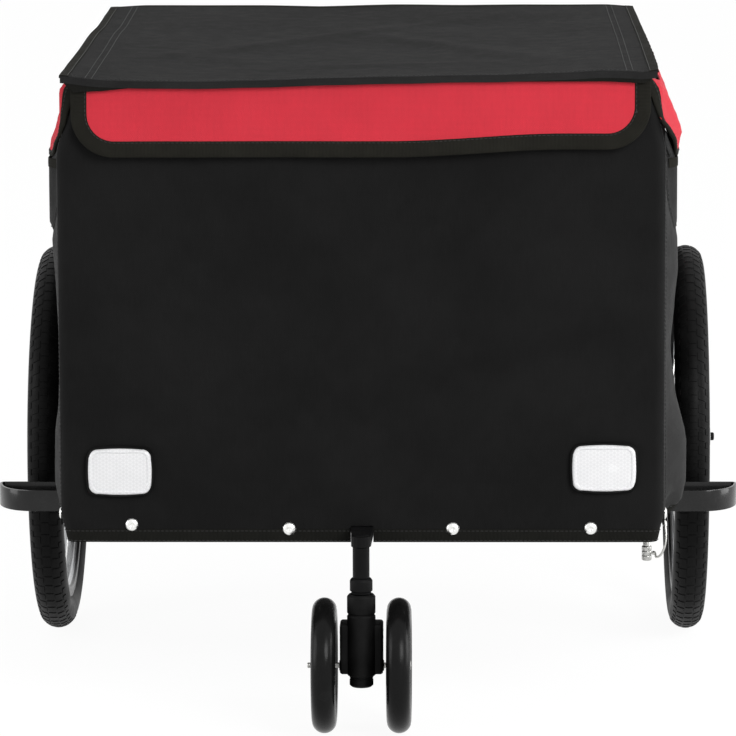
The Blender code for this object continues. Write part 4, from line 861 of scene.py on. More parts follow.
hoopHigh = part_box("left_side_hoop")[1]
hoop = {"radius": 0.0095, "middle": hoopHigh.x - 0.0095, "topZ": hoopHigh.z - 0.0095, "room": 0.0008}


def overHoop(word, y, height, reach):  # the cloth leans in, but no further than the hoop's tube lets it
    leaned = reach - drawnIn(word, y, height)
    over = max(height - hoop["topZ"], 0.0)
    held = hoop["middle"] + math.sqrt(max(hoop["radius"] ** 2 - over ** 2, 0.0)) + hoop["room"]
    return leaned + max(held - leaned, 0.0) * ease(frontY + 0.001, frontY + 0.012, y)


def endFace(faceY, inward, folds):
    corner = endCloth["corner"]

    def spot(across, height):
        way = 1.0 if across > 0 else -1.0
        tight = between(endCloth["leftDraw" if across > 0 else "rightDraw"], height)
        tight += endCloth["pulledIn"] * ease(endCloth["pulledUpTo"], hemZ, height)
        past = max(abs(across) - flatHalf, 0.0)
        turn = min(past / corner, math.pi / 2)
        x = across if past == 0 else way * (flatHalf + corner * math.sin(turn))
        x -= way * tight * ease(0.8 * flatHalf, flatHalf, abs(across))
        y = faceY + inward * corner * (1 - math.cos(turn))
        folded = easeFrom(height, hemZ, endCloth["foldsFrom"])
        folded *= 1 - easeFrom(height, endTopZ, endCloth["foldsTo"])
        edge = 1 - ease(flatHalf - endCloth["edgeCalm"], flatHalf, abs(across))
        rise = foldRise(folds, across, height - baseZ) * folded * edge
        wave = noise.noise(Vector((across * 14, height * 14, faceY * 9)))
        rise += endCloth["ripple"] * wave * easeFrom(height, hemZ, endCloth["rippleFrom"]) * edge
        return Vector((x, y, height)) + Vector((way * math.sin(turn), -inward * math.cos(turn), 0.0)) * rise

    return ClothFace(spot, (0.0, -inward, 0.0))


def buildEndCloth(word, faceY, inward):
    face = endFace(faceY, inward, endCloth[word + "Folds"])
    half = flatHalf + endCloth["corner"] * math.pi / 2  # of the cut's width, round both corners
    hemTop, inset, step = hemZ + endCloth["hemWidth"], endCloth["seamInset"], endCloth["step"]
    arch, archTop = endCloth["archHalf"], endCloth["archTop"]
    stops, parts = [-flatHalf, flatHalf], [(-half + 0.001, half - 0.001)]
    if word == "front":
        stops, parts = [-flatHalf, -arch, arch, flatHalf], [(-half + 0.001, -arch), (arch, half - 0.001)]

    def gone(u, v):
        return word == "front" and abs(u) < arch and v < archTop

    us = fill([-half, -flatHalf], 0.0025)[:-1] + fill(stops, step) + fill([flatHalf, half], 0.0025)[1:]
    vs = fill([hemZ, hemTop, archTop, endTopZ], step)
    # the end cloth's tone is the darker copy of the polyester, with painted shade
    cloth = clothSheet(word + "_cloth", face, us, vs, "shadedEndCloth", gone=gone)
    hold(cloth, "chassis", "black_cloth", word + "_panel")
    hem = hemOn(word + "_hem", face, parts, hemZ, endCloth["hemWidth"], 0.004)
    rows = [seamLine(face, level(height, low + 0.002, high - 0.002, 0.004), 0.0009)
            for low, high in parts for height in (hemTop - inset, hemZ + inset)]
    rows += [seamLine(face, upright(side * (half - 0.004), hemTop + 0.002, endTopZ - 0.004, 0.006))
             for side in (-1, 1)]
    return rows


bodyRows = buildEndCloth("front", frontY, 1) + buildEndCloth("rear", rearY, -1)
print("front and rear cloth hung")


# Side cloth and its pockets

pocketLow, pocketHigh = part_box("left_side_pocket")
sideCloth = {
    "step": 0.010, "noseStep": 0.003, "noseLong": 0.03, "hemWidth": 0.012, "bossRoom": 0.013,
    "snapRadius": 0.0065,
    "leftFolds": ((0.160, 0.124, 0.120, 0.050, 20, 0.005),),
    "rightFolds": ((0.150, 0.134, 0.120, 0.050, -20, 0.005),),
    "leftBulge": ((0.184, 0.0), (0.192, 0.0046), (0.200, 0.0140), (0.207, 0.0208), (0.225, 0.0240),
                  (0.264, 0.0240), (0.310, 0.0130), (0.355, 0.0080), (0.400, 0.0120), (0.430, 0.0150),
                  (0.462, 0.0142), (0.500, 0.0040), (0.540, 0.0)),
    "rightBulge": ((0.184, 0.0), (0.192, 0.0046), (0.225, 0.0115), (0.273, 0.0105), (0.302, 0.0065),
                   (0.350, 0.0040), (0.400, 0.0070), (0.460, 0.0110), (0.500, 0.0030), (0.540, 0.0)),
    "bulgeFrom": 0.012, "bulgeFull": 0.085, "bulgeBack": 0.250, "bulgeEnd": 0.340,
}
pocket = {"step": 0.003, "edge": 0.004, "frontSlope": 0.28, "seamInset": 0.003, "mouth": 0.009}


def sideFace(word):
    def spot(along, height):
        rise = foldRise(sideCloth[word + "Folds"], along, height - baseZ)
        rise *= 1 - ease(0.7 * halfLength, 0.9 * halfLength, abs(along))
        rise *= ease(sideHemZ + 0.002, sideHemZ + 0.035, height)
        behind = halfLength + along
        full = ease(sideCloth["bulgeFrom"], sideCloth["bulgeFull"], behind) ** 0.6
        full *= 1 - ease(sideCloth["bulgeBack"], sideCloth["bulgeEnd"], behind)
        rise += between(sideCloth[word + "Bulge"], height) * full
        y = middleY + along
        fromSnap = math.hypot(y - sideSnapAt.y, height - sideSnapAt.z) - sideCloth["snapRadius"]
        rise *= ease(0.001, 0.020, fromSnap)
        return Vector((sides[word] * overHoop(word, y, height, sideX + rise), y, height))

    return ClothFace(spot, (sides[word], 0.0, 0.0))


def buildSideCloth(word):
    face = sideFace(word)
    half = halfLength - endCloth["corner"] - gap
    axle = wheelAt.y - middleY
    room, hemWidth, step = sideCloth["bossRoom"], sideCloth["hemWidth"], sideCloth["step"]
    roomTop = wheelAt.z + room
    nose = -half + sideCloth["noseLong"]  # the cloth bends most ahead of here
    us = fill([-half, nose], sideCloth["noseStep"])[:-1] + fill([nose, axle - room, axle + room, half], step)
    vs = fill([sideHemZ, roomTop, sideTopZ], step)
    # the side cloth's tone is the side-lit copy of the polyester, with painted light
    cloth = clothSheet(word + "_side_cloth", face, us, vs, "sideCloth",
                       gone=lambda u, v: abs(u - axle) < room and v < roomTop)
    hold(cloth, "chassis", "black_cloth", word + "_side_panel")
    parts = [(-half + 0.0005, axle - room - 0.0005), (axle + room + 0.0005, half - 0.0005)]
    hem = hemOn(word + "_side_hem", face, parts, sideHemZ, hemWidth, 0.005, 0.0004)
    seam = sideHemZ + hemWidth - endCloth["seamInset"]
    rows = [seamLine(face, level(seam, low + 0.0015, high - 0.0015, 0.006), 0.0007) for low, high in parts]
    rows += [seamLine(face, upright(place, sideHemZ + 0.014, sideTopZ - 0.004, 0.008))
             for place in (-half + 0.005, half - 0.005)]
    return rows


def buildPocket(word):  # a flat bellows pocket with softened edges
    side = sides[word]
    under = sideFace(word)
    start, end, low, high = pocketLow.y - middleY, pocketHigh.y - middleY, pocketLow.z, pocketHigh.z
    edge, inset = pocket["edge"], pocket["seamInset"]

    def spot(along, height):
        base = abs(under.spot(along, height).x) + gap
        inside = min((along - start) * pocket["frontSlope"], end - along, height - low, high - height)
        full = ease(-edge * 0.3, 2 * edge, inside)
        puff = 0.0006 * noise.noise(Vector((along * 22, height * 22, side * 3.0)))
        puff *= ease(edge, 4 * edge, inside)
        return Vector((side * (base + (pocketHigh.x - base) * full + puff - 0.0004), middleY + along, height))

    face = ClothFace(spot, (side, 0.0, 0.0))
    us = fill([start, start + 3 * edge, end - 3 * edge, end], pocket["step"])
    vs = fill([low, low + 3 * edge, high - 3 * edge, high], pocket["step"])
    # the pocket takes the side cloth's tone, with its painted light
    cloth = clothSheet(word + "_pocket_cloth", face, us, vs, "sideCloth", 0.0012)
    hold(cloth, "chassis", "black_cloth", word + "_side_pocket")
    band = bandOn(word + "_pocket_mouth", face, level(high - 0.0085, start + 0.008, end - 0.008, 0.004),
                  pocket["mouth"], "binding")
    hold(band, "chassis", "black_cloth")
    paths = [level(height, start + inset, end - inset, 0.004) for height in (high - inset, low + inset)]
    paths += [upright(place, low + inset, high - inset, 0.004) for place in (start + inset, end - inset)]
    return [seamLine(face, path) for path in paths]


for word in sides:
    bodyRows += buildSideCloth(word) + buildPocket(word)
stitchRows("body_stitches", "chassis", bodyRows)
print("side cloth and pockets hung")


# Roof

roofLow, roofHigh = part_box("roof_panel")
roof = {
    "half": roofHigh.x, "frontY": roofLow.y, "rearY": roofHigh.y, "thick": 0.0016, "sag": 0.0050,
    "seamX": 0.262, "step": 0.011, "bindWidth": 0.009, "edge": 0.0022, "hem": 0.0045,
    "frontEdge": (
        (-0.284, 0.6242), (-0.245, 0.6202), (-0.20, 0.6190), (-0.15, 0.6187), (-0.10, 0.6198),
        (-0.03, 0.6221), (0.04, 0.6235), (0.09, 0.6243), (0.13, 0.6244), (0.19, 0.6266), (0.228, 0.6284),
        (0.252, 0.6279), (0.266, 0.6270), (0.280, 0.6290),
    ),
    "rearEdge": (
        (-0.286, 0.6284), (-0.25, 0.6304), (-0.12, 0.6302), (-0.06, 0.6288), (0.02, 0.6308),
        (0.15, 0.6302), (0.25, 0.6306), (0.278, 0.6288),
    ),
    "leftEdge": ((0.0, -0.2826), (0.237, -0.2835), (0.437, -0.2852), (0.507, -0.2838), (0.743, -0.2865)),
    "rightEdge": ((0.0, 0.2792), (0.337, 0.2798), (0.743, 0.2785)),
    "hemEdge": (
        (-0.285, 0.6080), (-0.25, 0.6095), (-0.21, 0.6130), (-0.15, 0.6150), (-0.10, 0.6155),
        (-0.03, 0.6165), (0.04, 0.6168), (0.12, 0.6180), (0.23, 0.6182), (0.27, 0.6165),
    ),
    "folds": (
        (-0.060, 0.050, 0.260, 0.018, 52, 0.0030), (0.090, -0.060, 0.220, 0.020, -58, 0.0030),
        (0.120, 0.210, 0.100, 0.060, 10, -0.0040), (-0.150, -0.150, 0.120, 0.030, -35, 0.0018),
        (0.020, -0.230, 0.150, 0.020, 8, 0.0015),
    ),
}
roofHem = roof["frontY"] + roof["edge"]  # where the roof turns down at the front


def roofTop(across, along):
    front, rear = roof["frontY"], roof["rearY"]
    share = min(max((along - front) / (rear - front), 0.0), 1.0)
    side = max(1 - (across / roof["seamX"]) ** 2, 0.0)
    length = 4 * share * (1 - share)
    rise = between(roof["frontEdge"], across) * (1 - share) + between(roof["rearEdge"], across) * share
    rise -= roof["sag"] * side * length ** 0.6
    rise += foldRise(roof["folds"], across, along - (front + rear) / 2) * side ** 0.5 * length ** 0.4
    return rise + 0.0005 * noise.noise(Vector((across * 16, along * 16, 2.0)))


def roofAcross(across, along):  # the side edges aren't quite straight
    behind = along - roof["frontY"]
    edge = between(roof["rightEdge"], behind) if across > 0 else -between(roof["leftEdge"], behind)
    return across * edge / roof["half"]


def roofSpot(across, along):
    past = max(roofHem - along, 0.0)
    along = max(along, roofHem)
    across = roofAcross(across, along)
    edge = roof["edge"]
    turn = min(past / edge, math.pi / 2)
    drop = edge * (1 - math.cos(turn)) + max(past - edge * math.pi / 2, 0.0)
    return Vector((across, along - edge * math.sin(turn), roofTop(across, along) - drop))


def buildRoof():
    face = ClothFace(roofSpot, (0.0, -0.5, 1.0))
    half, seam, rear, bind, step = roof["half"], roof["seamX"], roof["rearY"], roof["bindWidth"], roof["step"]
    quarter = roof["edge"] * math.pi / 2  # of a turn round the front edge
    us = fill([-half, -seam, seam, half], step)
    vs = fill([roofHem - quarter - roof["hem"], roofHem - quarter, roofHem], 0.0009)
    vs += fill([roofHem, roofHem + 0.03, rear], step)[1:]
    # the roof cloth's tone is the lightest copy of the polyester, with painted light from above
    cloth = clothSheet("roof_cloth", face, us, vs, "topLitRoofCloth", roof["thick"])
    hold(cloth, "lid", "roof_cloth", "roof_panel")
    rows = [seamLine(face, upright(place, roofHem + 0.003, rear - 0.004, 0.008))
            for place in (-seam, -seam + 0.006, seam - 0.006, seam)]
    rows += [seamLine(face, level(roofHem + behind, -half + 0.006, half - 0.006, 0.006))
             for behind in (0.004, 0.010)]
    bands = []
    for side in (-1, 1):
        path = upright(side * (half - bind / 2 + 0.001), roofHem, rear - 0.001, 0.008)
        bands.append(bandOn("tape", face, path, bind, "binding", 0.0022))
        path = upright(side * (half - bind + 0.002), roofHem + 0.002, rear - 0.004, 0.008)
        rows.append(seamLine(face, path, 0.001))
    path = level(rear - bind / 2, -half + 0.004, half - 0.004, 0.008)
    bands.append(bandOn("tape", face, path, bind, "binding", 0.0022, 0.0004))
    binding = hold(joined("roof_binding", bands), "lid", "roof_cloth")
    strip = hold(roofStrip(half), "lid", "roof_cloth")
    return rows


def roofStrip(half):  # webbing under the front edge, over the flap's top
    columns = []
    for u in fill([-half + 0.001, half - 0.001], 0.006):
        across = roofAcross(u, roofHem)
        top = roofTop(across, roofHem) - 0.003
        low = between(roof["hemEdge"], across)
        low += (top - low) * ease(half - 0.0115, half - 0.001, abs(u))
        columns.append((across, top, low))
    rows = []
    for share in (0.0, 0.35, 0.7, 1.0):
        y = roof["frontY"] + 0.0002 + 0.0005 * share
        spots = [(across, top + (low - top) * share) for across, top, low in columns]
        rows.append([(Vector((x, y, z)), (x, z)) for x, z in spots])
    return sheetOf("roof_front_hem", rows, Vector((0, -1, 0)), "webbing", 0.0016)


# Flaps that hang from the roof. Reach and front are (share of the drop, distance from the middle).

flap = {
    "half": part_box("front_valance")[1].x, "round": 0.040, "drop": 0.0628, "rearDrop": 0.067, "flare": 0.006,
    "standoff": 0.0015, "thick": 0.0014, "bind": 0.0145, "step": 0.006, "sideStep": 0.0035,
    "rightLift": 0.0068, "sideInset": 0.012, "sideTop": 0.6135, "sideDrop": 0.067, "sideBind": 0.0052,
    "tuck": 0.055, "wrap": 0.003, "frontRise": 0.006, "seamInset": 0.0016,
    "leftReach": ((0.0, 0.2830), (0.12, 0.2872), (0.22, 0.2906), (0.39, 0.2955), (0.56, 0.3003),
                  (0.73, 0.3042), (0.85, 0.3020), (1.05, 0.3000)),
    "rightReach": ((0.0, 0.2770), (0.12, 0.2805), (0.29, 0.2844), (0.46, 0.2890), (0.64, 0.2926),
                   (0.85, 0.2978), (1.05, 0.2990)),
    "leftFront": ((0.0, 0.2697), (0.14, 0.2724), (0.30, 0.2776), (0.47, 0.2838), (0.64, 0.2914),
                  (0.80, 0.2950), (1.05, 0.2960)),
    "rightFront": ((0.0, 0.2673), (0.12, 0.2683), (0.29, 0.2723), (0.46, 0.2781), (0.65, 0.2830),
                   (0.85, 0.2868), (1.05, 0.2880)),
}


def roundLift(place, half):  # how far the lower edge has risen where the flap's corner rounds
    past = max(abs(place) - (half - flap["round"]), 0.0)
    return flap["round"] - math.sqrt(max(flap["round"] ** 2 - past ** 2, 0.0))


def flapSheet(name, face, half, topOf, lowOf, step, arcSteps=9, shares=14):
    radius = flap["round"]
    arc = [radius * (1 - math.cos(math.pi / 2 * index / arcSteps)) for index in range(arcSteps)]
    places = [value - half for value in arc] + fill([-half + radius, half - radius], step)
    places += [half - value for value in reversed(arc)]
    columns = [(place, topOf(place), lowOf(place)) for place in places]
    rows = []
    for index in range(shares + 1):
        cuts = [(place, top + (low - top) * index / shares) for place, top, low in columns]
        rows.append([(face.at(*cut), cut) for cut in cuts])
    return sheetOf(name, rows, face.facing, "redCloth", flap["thick"])


def flapEdge(half, topOf, lowOf, arcSteps=12, step=0.005):
    # outline of a flap from one upper corner round to the other, with the way in at each point
    radius = flap["round"]
    turns = [math.pi / 2 * index / arcSteps for index in range(1, arcSteps)]
    arc = [(half - radius * (1 - math.cos(turn)), math.cos(turn), math.sin(turn)) for turn in turns]
    outline = [(-half, height, 1.0, 0.0) for height in fill([lowOf(0) + radius, topOf(-half)], step)[::-1]]
    outline += [(-place, lowOf(-place), du, dv) for place, du, dv in arc]
    outline += [(place, lowOf(place), 0.0, 1.0) for place in fill([-half + radius, half - radius], step)]
    outline += [(place, lowOf(place), -du, dv) for place, du, dv in reversed(arc)]
    return outline + [(half, height, -1.0, 0.0) for height in fill([lowOf(0) + radius, topOf(half)], step)]


def bindEdge(name, face, outline, width):  # tape folded over the flap's edge
    stations = [(face.at(place, height), face.inward(place, height, du, dv), face.normal(place, height))
                for place, height, du, dv in outline]
    thick, cover = flap["thick"], 0.0007
    section = [(-cover, -thick), (-cover, 0.0), (0.0, cover), (width * 0.3, cover * 1.2),
               (width * 0.6, cover * 1.2), (width - cover, cover), (width, cover * 0.3),
               (width, -thick - cover * 0.3), (width - cover, -thick - cover), (width * 0.5, -thick - cover),
               (0.0, -thick - cover)]

    def lay(index, across, lift):  # follows the cloth's round over the tape's whole width
        place, height, du, dv = outline[index]
        inside = max(across, 0.0)
        spot = face.at(place + du * inside, height + dv * inside, lift)
        return spot + stations[index][1] * min(across, 0.0)

    return swept(stations, section, "binding", name, sharp=50, lay=lay)


def hangFlap(word, face, body, half, topOf, lowOf, step, bind):
    cloth = flapSheet(word + "_flap", face, half, topOf, lowOf, step)
    hold(cloth, body, "red_cloth", word + "_valance")
    outline = flapEdge(half, topOf, lowOf)
    tape = hold(bindEdge(word + "_flap_binding", face, outline, bind), body, "black_cloth")
    inset = bind - flap["seamInset"]
    return [seamLine(face, [(place + du * inset, height + dv * inset) for place, height, du, dv in outline],
                     0.0009)]


def buildEndFlap(word, faceY, outwardY, body):
    half, isFront = flap["half"], word == "front"
    hangTop, waves = endTopZ + 0.004, 1.0 if isFront else 0.5

    def spot(across, height):
        hang = max((hangTop - height) / (flap["drop"] + 0.004), 0.0)
        wave = 0.0009 * math.sin(across * 21 + 0.8) + 0.0006 * math.sin(across * 47 + 2.0)
        lean = flap["flare"] * hang ** 1.5 + wave * hang * waves
        ripple = 0.0004 * noise.noise(Vector((across * 25, height * 30, faceY * 5)))
        return Vector((across, faceY + outwardY * (lean + flap["thick"] + gap + ripple), height))

    def topOf(across):
        if not isFront:
            return endTopZ + 0.001
        return roofTop(across, roof["frontY"] + 0.006) - roof["thick"] - 0.0012

    def lowOf(across):  # the front flap's lowest line rises towards the trailer's left
        drop = flap["drop"] - flap["rightLift"] * ease(0.03, 0.19, across) if isFront else flap["rearDrop"]
        return endTopZ - drop + roundLift(across, half)

    return hangFlap(word, ClothFace(spot, (0.0, outwardY, 0.0)), body, half, topOf, lowOf, flap["step"],
                    flap["bind"])


def buildSideFlap(word):
    side, corner, top = sides[word], endCloth["corner"], flap["sideTop"]
    start, end = frontY + flap["wrap"], rearY - flap["sideInset"]
    half = (end - start) / 2
    low = endTopZ - flap["rearDrop"]

    def spot(along, height):
        y = (start + end) / 2 + along
        hang = max((top - height) / flap["sideDrop"], 0.0)
        loose = 0.35 * ease(0.0, 0.014, y - start) + 0.65 * ease(0.008, flap["tuck"], y - start)
        tight = between(flap[word + "Front"], hang)
        reach = tight + (between(flap[word + "Reach"], hang) - tight) * loose
        reach += (0.0009 * math.sin(along * 19 + side) + 0.0006 * math.sin(along * 41)) * loose
        past = max(frontY + corner - y, 0.0)  # the body's cloth beside the flap turns the corner here
        wall = sideX - corner + math.sqrt(max(corner ** 2 - past ** 2, 0.0))
        clear = overHoop(word, y, height, wall) + flap["thick"] + 0.0004
        over = reach - clear
        return Vector((side * (clear + (over + math.sqrt(over ** 2 + 0.0008 ** 2)) / 2), y, height))

    return hangFlap(word, ClothFace(spot, (side, 0.0, 0.0)), "lid", half,
                    lambda along: top + flap["frontRise"] * ease(0.06, 0.0, half + along),
                    lambda along: low + roundLift(along, half), flap["sideStep"], flap["sideBind"])


lidRows = buildRoof() + buildEndFlap("front", frontY - flap["standoff"], -1, "lid")
rearRows = buildEndFlap("rear", rearY + flap["standoff"], 1, "chassis")
for word in sides:
    lidRows += buildSideFlap(word)
stitchRows("lid_stitches", "lid", lidRows)
stitchRows("rear_flap_stitches", "chassis", rearRows)
print("roof and flaps hung")


# Main wheels

tyreLow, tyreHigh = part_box("left_tyre")
rimLow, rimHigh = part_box("left_rim")
hubLow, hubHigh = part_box("left_hub_and_spokes")
wheel = {
    "radius": wheelAt.z, "width": tyreHigh.x - tyreLow.x, "seat": 0.1683, "beadHalf": 0.0112,
    "treadDepth": 0.00012, "treadCount": 90, "facets": 144, "rimOuter": 0.168, "rimInner": 0.153,
    "rimHalf": (rimHigh.x - rimLow.x) / 2, "rimBed": 0.007,
    "hubHalf": (hubHigh.x - hubLow.x) / 2, "hubCore": 0.0135, "flangeRadius": 0.024, "flange": 0.0028,
    "hubEnd": 0.004, "axleHole": 0.0064, "spoke": 0.001, "spokePairs": 10, "spokeSweep": math.radians(32),
    "nippleLong": 0.012, "nipple": 0.0021,
    # each lug: from and to in degrees round the tyre, start and end along a tread step, slant
    "lugs": ((-13, 13, 0.10, 0.62, 0.10), (-42, -17, 0.30, 0.92, 0.34), (17, 42, 0.30, 0.92, 0.34),
             (-60, -46, 0.05, 0.55, 0.12), (46, 60, 0.05, 0.55, 0.12)),
}
alongX = (1, 0, 0)


def treadSegment():  # lugs that follow the tyre's round
    half, depth, columns = wheel["width"] / 2, wheel["treadDepth"], 4
    centre = wheel["radius"] - half
    turn = 2 * math.pi / wheel["treadCount"]
    builder = bmesh.new()
    for low, high, start, end, slant in wheel["lugs"]:
        rings = []
        for column in range(columns + 1):
            across = math.radians(low + (high - low) * column / columns)
            lean = slant * (abs(across) - math.radians(min(abs(low), abs(high)))) * 0.9
            raised = depth * (0.72 if column in (0, columns) else 1.0)
            walk = ((start, -0.0006), (start + 0.03, raised), (end - 0.03, raised), (end, -0.0006))
            ring = []
            for place, lift in walk:
                angle = (place + lean) * turn
                size = half - depth + lift
                radius = centre + size * math.cos(across)
                ring.append(builder.verts.new((size * math.sin(across), radius * math.cos(angle),
                                               radius * math.sin(angle))))
            rings.append(ring)
        skin(builder, rings, capped=True)
    return outward(builder)


def buildTyre(word, centre):
    half, seat, bead = wheel["width"] / 2, wheel["seat"], wheel["beadHalf"]
    crown = wheel["radius"] - wheel["treadDepth"] - half
    steps = 40
    outline = []
    for step in range(steps + 1):
        angle = math.radians(-122 + 244 * step / steps)
        size = half - 0.0005 + 0.0004 * math.exp(-((abs(math.degrees(angle)) - 100) / 3.5) ** 2)
        outline.append((crown + size * math.cos(angle), size * math.sin(angle)))
    outline += [(seat + 0.0006, bead + 0.0012), (seat, bead), (seat, -bead), (seat + 0.0006, -bead - 0.0012)]
    carcass = lathe("carcass", outline, centre, alongX, wheel["facets"], "tyre")
    lugs = ringOf("tread", treadSegment(), wheel["treadCount"], centre, "tyre", 25)
    hold(joined(word + "_road_tyre", [carcass, lugs]), word + "_wheel", "tyre_rubber", word + "_tyre")


def buildRim(word, centre):
    half, outer, inner, bed = wheel["rimHalf"], wheel["rimOuter"], wheel["rimInner"], wheel["rimBed"]
    lip = outer - 0.0002
    side = [(outer - 0.007, bed), (outer - 0.006, half - 0.0022), (lip, half - 0.0016), (lip, half),
            (outer - 0.010, half), (inner + 0.002, bed + 0.0015), (inner, bed)]
    other = [(size, -place) for size, place in reversed(side)]
    outline = other[3:] + [(outer - 0.009, 0.0)] + side + other[:3]
    rim = lathe(word + "_wheel_rim", outline, centre, alongX, wheel["facets"], "rim", 0.0007, 25)
    hold(rim, word + "_wheel", "rim_metal", word + "_rim")


def spokePair(flangeX):  # one bent spoke with its nipple on each flange, for the ring to repeat
    pieces = []
    for index, flange in ((0, -1), (1, 1)):
        atRim = math.pi * index / wheel["spokePairs"]
        atHub = atRim + flange * wheel["spokeSweep"]
        hubRadius, rimRadius = wheel["flangeRadius"] - 0.0036, wheel["rimInner"] + 0.001
        hub = Vector((flange * flangeX, hubRadius * math.cos(atHub), hubRadius * math.sin(atHub)))
        rim = Vector((flange * 0.003, rimRadius * math.cos(atRim), rimRadius * math.sin(atRim)))
        way = (rim - hub).normalized()
        outer = Vector((flange * 0.0028, 0, 0))
        path = [hub - outer * 1.1, hub + outer * 0.1, hub + outer * 0.75 + way * 0.0012,
                hub + outer * 0.8 + way * 0.005, hub.lerp(rim, 0.2), hub.lerp(rim, 0.6), rim]
        pieces.append(tube("spoke", path, wheel["spoke"], "steel", 6))
        head = [(0.0, -0.0012), (0.0019, -0.0012), (0.0019, -0.0004), (0.0011, 0.0), (0.0, 0.0)]
        pieces.append(lathe("head", head, hub - outer * 1.1, -outer, 8, "steel"))
        size, long = wheel["nipple"], wheel["nippleLong"]
        nut = [(0.0, 0.0), (0.0015, 0.0), (size, 0.0012), (size, long), (0.0, long)]
        pieces.append(lathe("nipple", nut, rim - way * long, way, 8, "steel"))
    return merged(pieces)


def buildHub(word, centre):
    half, radius, core, hole = wheel["hubHalf"], wheel["flangeRadius"], wheel["hubCore"], wheel["axleHole"]
    out = half - wheel["hubEnd"]
    low = out - wheel["flange"]
    side = [(core, low - 0.005), (core + 0.003, low), (radius, low), (radius, out), (0.013, out),
            (0.0105, out + 0.001), (0.0105, half), (hole, half)]
    shell = lathe("shell", mirrored(side), centre, alongX, 48, "steel", 0.0006)
    lacing = ringOf("lacing", spokePair((out + low) / 2), wheel["spokePairs"], centre, "steel")
    hold(joined(word + "_laced_hub", [shell, lacing]), word + "_wheel", "bright_steel",
         word + "_hub_and_spokes")


def buildValve(word, centre):  # on the inner side of the rim, between two spokes
    angle = math.pi / (2 * wheel["spokePairs"])
    way = Vector((0.0, math.cos(angle), math.sin(angle)))
    outline = [(0.0, 0.0), (0.0042, 0.0), (0.0042, 0.004), (0.0031, 0.006), (0.0031, 0.024),
               (0.0036, 0.0245), (0.0036, 0.031), (0.003, 0.033), (0.0, 0.033)]
    start = centre + way * (wheel["rimInner"] + 0.003)
    hold(lathe(word + "_valve", outline, start, -way, 20, "plastic", 0.0004), word + "_wheel", "tyre_rubber")


for word in sides:
    for build in (buildTyre, buildRim, buildHub, buildValve):
        build(word, joints[word + "_wheel_spin"])
print("main wheels built")


# Push-in axles and their buttons

axleLow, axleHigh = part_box("left_axle")
buttonLow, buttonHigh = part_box("left_axle_button")
axle = {"pin": 0.006, "head": 0.011, "headLong": 0.004, "button": 0.0042, "room": 0.005, "facets": 32}


def buildAxle(word):
    way, centre = (sides[word], 0, 0), (0.0, wheelAt.y, wheelAt.z)
    inner, outer, neck = axleLow.x, axleHigh.x, axleHigh.x - axle["headLong"]
    pinSize, head, button = axle["pin"], axle["head"], axle["button"]
    back, tip = buttonLow.x, buttonHigh.x
    outline = [(0.0, inner), (0.0045, inner), (pinSize, inner + 0.0015), (pinSize, neck),
               (head - 0.0012, neck), (head, neck + 0.0012), (head, outer - 0.0010), (head - 0.0016, outer),
               (button + 0.0002, outer), (button + 0.0002, back - axle["room"]), (0.0, back - axle["room"])]
    hold(lathe(word + "_axle_pin", outline, centre, way, axle["facets"], "steel", 0.0004), "chassis",
         "bright_steel", word + "_axle")
    outline = [(0.0, back), (button, back), (button, tip - 0.0009), (button - 0.0012, tip),
               (0.0016, tip - 0.0002), (0.0, tip - 0.0005)]
    hold(lathe(word + "_push_button", outline, centre, way, 24, "plastic", 0.0004), word + "_button",
         "black_plastic", word + "_axle_button")


# Wheel guards

guardLow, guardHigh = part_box("left_wheel_guard")
guard = {"strip": 0.003, "curve": 0.034, "corner": 0.004, "soften": 0.0007, "rivetFrom": 0.012}


def arc(centre, radius, low, high, steps):
    angles = [math.radians(low + (high - low) * step / steps) for step in range(steps + 1)]
    return [(centre[0] + radius[0] * math.cos(angle), centre[1] + radius[1] * math.sin(angle))
            for angle in angles]


def buildGuard(word):  # a flat strip bent into a closed loop
    side, corner, curve = sides[word], guard["corner"], guard["curve"]
    half, soft = guard["strip"] / 2, guard["soften"]
    inner, outer, front, rear = guardLow.x + half, guardHigh.x - half, guardLow.y + half, guardHigh.y - half
    path = arc((outer - curve, rear - corner), (curve, rear - front - corner), -90, 0, 28)
    path += arc((outer - corner, rear - corner), (corner, corner), 0, 90, 6)[1:]
    path += [(place, rear) for place in fill([inner + corner, outer - corner], 0.02)][::-1][1:]
    path += arc((inner + corner, rear - corner), (corner, corner), 90, 180, 6)[1:]
    path += arc((inner + corner, front + corner), (corner, corner), 180, 270, 6)
    path += [(place, front) for place in fill([inner + corner, outer - curve], 0.01)][1:-1]
    low, high = guardLow.z, guardHigh.z
    near, far = soft * 0.3, soft
    rim = [(-half, high - far), (-half + near, high - near), (-half + far, high)]
    rim += [(-place, height) for place, height in reversed(rim)]
    section = rim + [(place, low + high - height) for place, height in reversed(rim)]
    stations = []
    for index, (x, y) in enumerate(path):
        way = (Vector(path[(index + 1) % len(path)]) - Vector(path[index - 1])).normalized()
        stations.append((Vector((side * x, y, 0.0)), Vector((side * way.y, -way.x, 0.0)), Vector((0, 0, 1))))
    pieces = [swept(stations, section, "gloss", "strip", closed=True, sharp=50)]
    outline = [(0.0, 0.0), (0.0026, 0.0), (0.0024, 0.0008), (0.0014, 0.0014), (0.0, 0.0016)]
    for y in (front + guard["rivetFrom"], rear - guard["rivetFrom"]):
        for height in (low + 0.0065, high - 0.0065):
            at = (side * (inner + half), y, height)
            pieces.append(lathe("rivet", outline, at, (side, 0, 0), 14, "gloss"))
    hold(joined(word + "_guard", pieces), "chassis", "guard_gloss", word + "_wheel_guard")


for build in (buildAxle, buildGuard):
    for word in sides:
        build(word)
print("axles and guards fitted")


# Caster under the nose

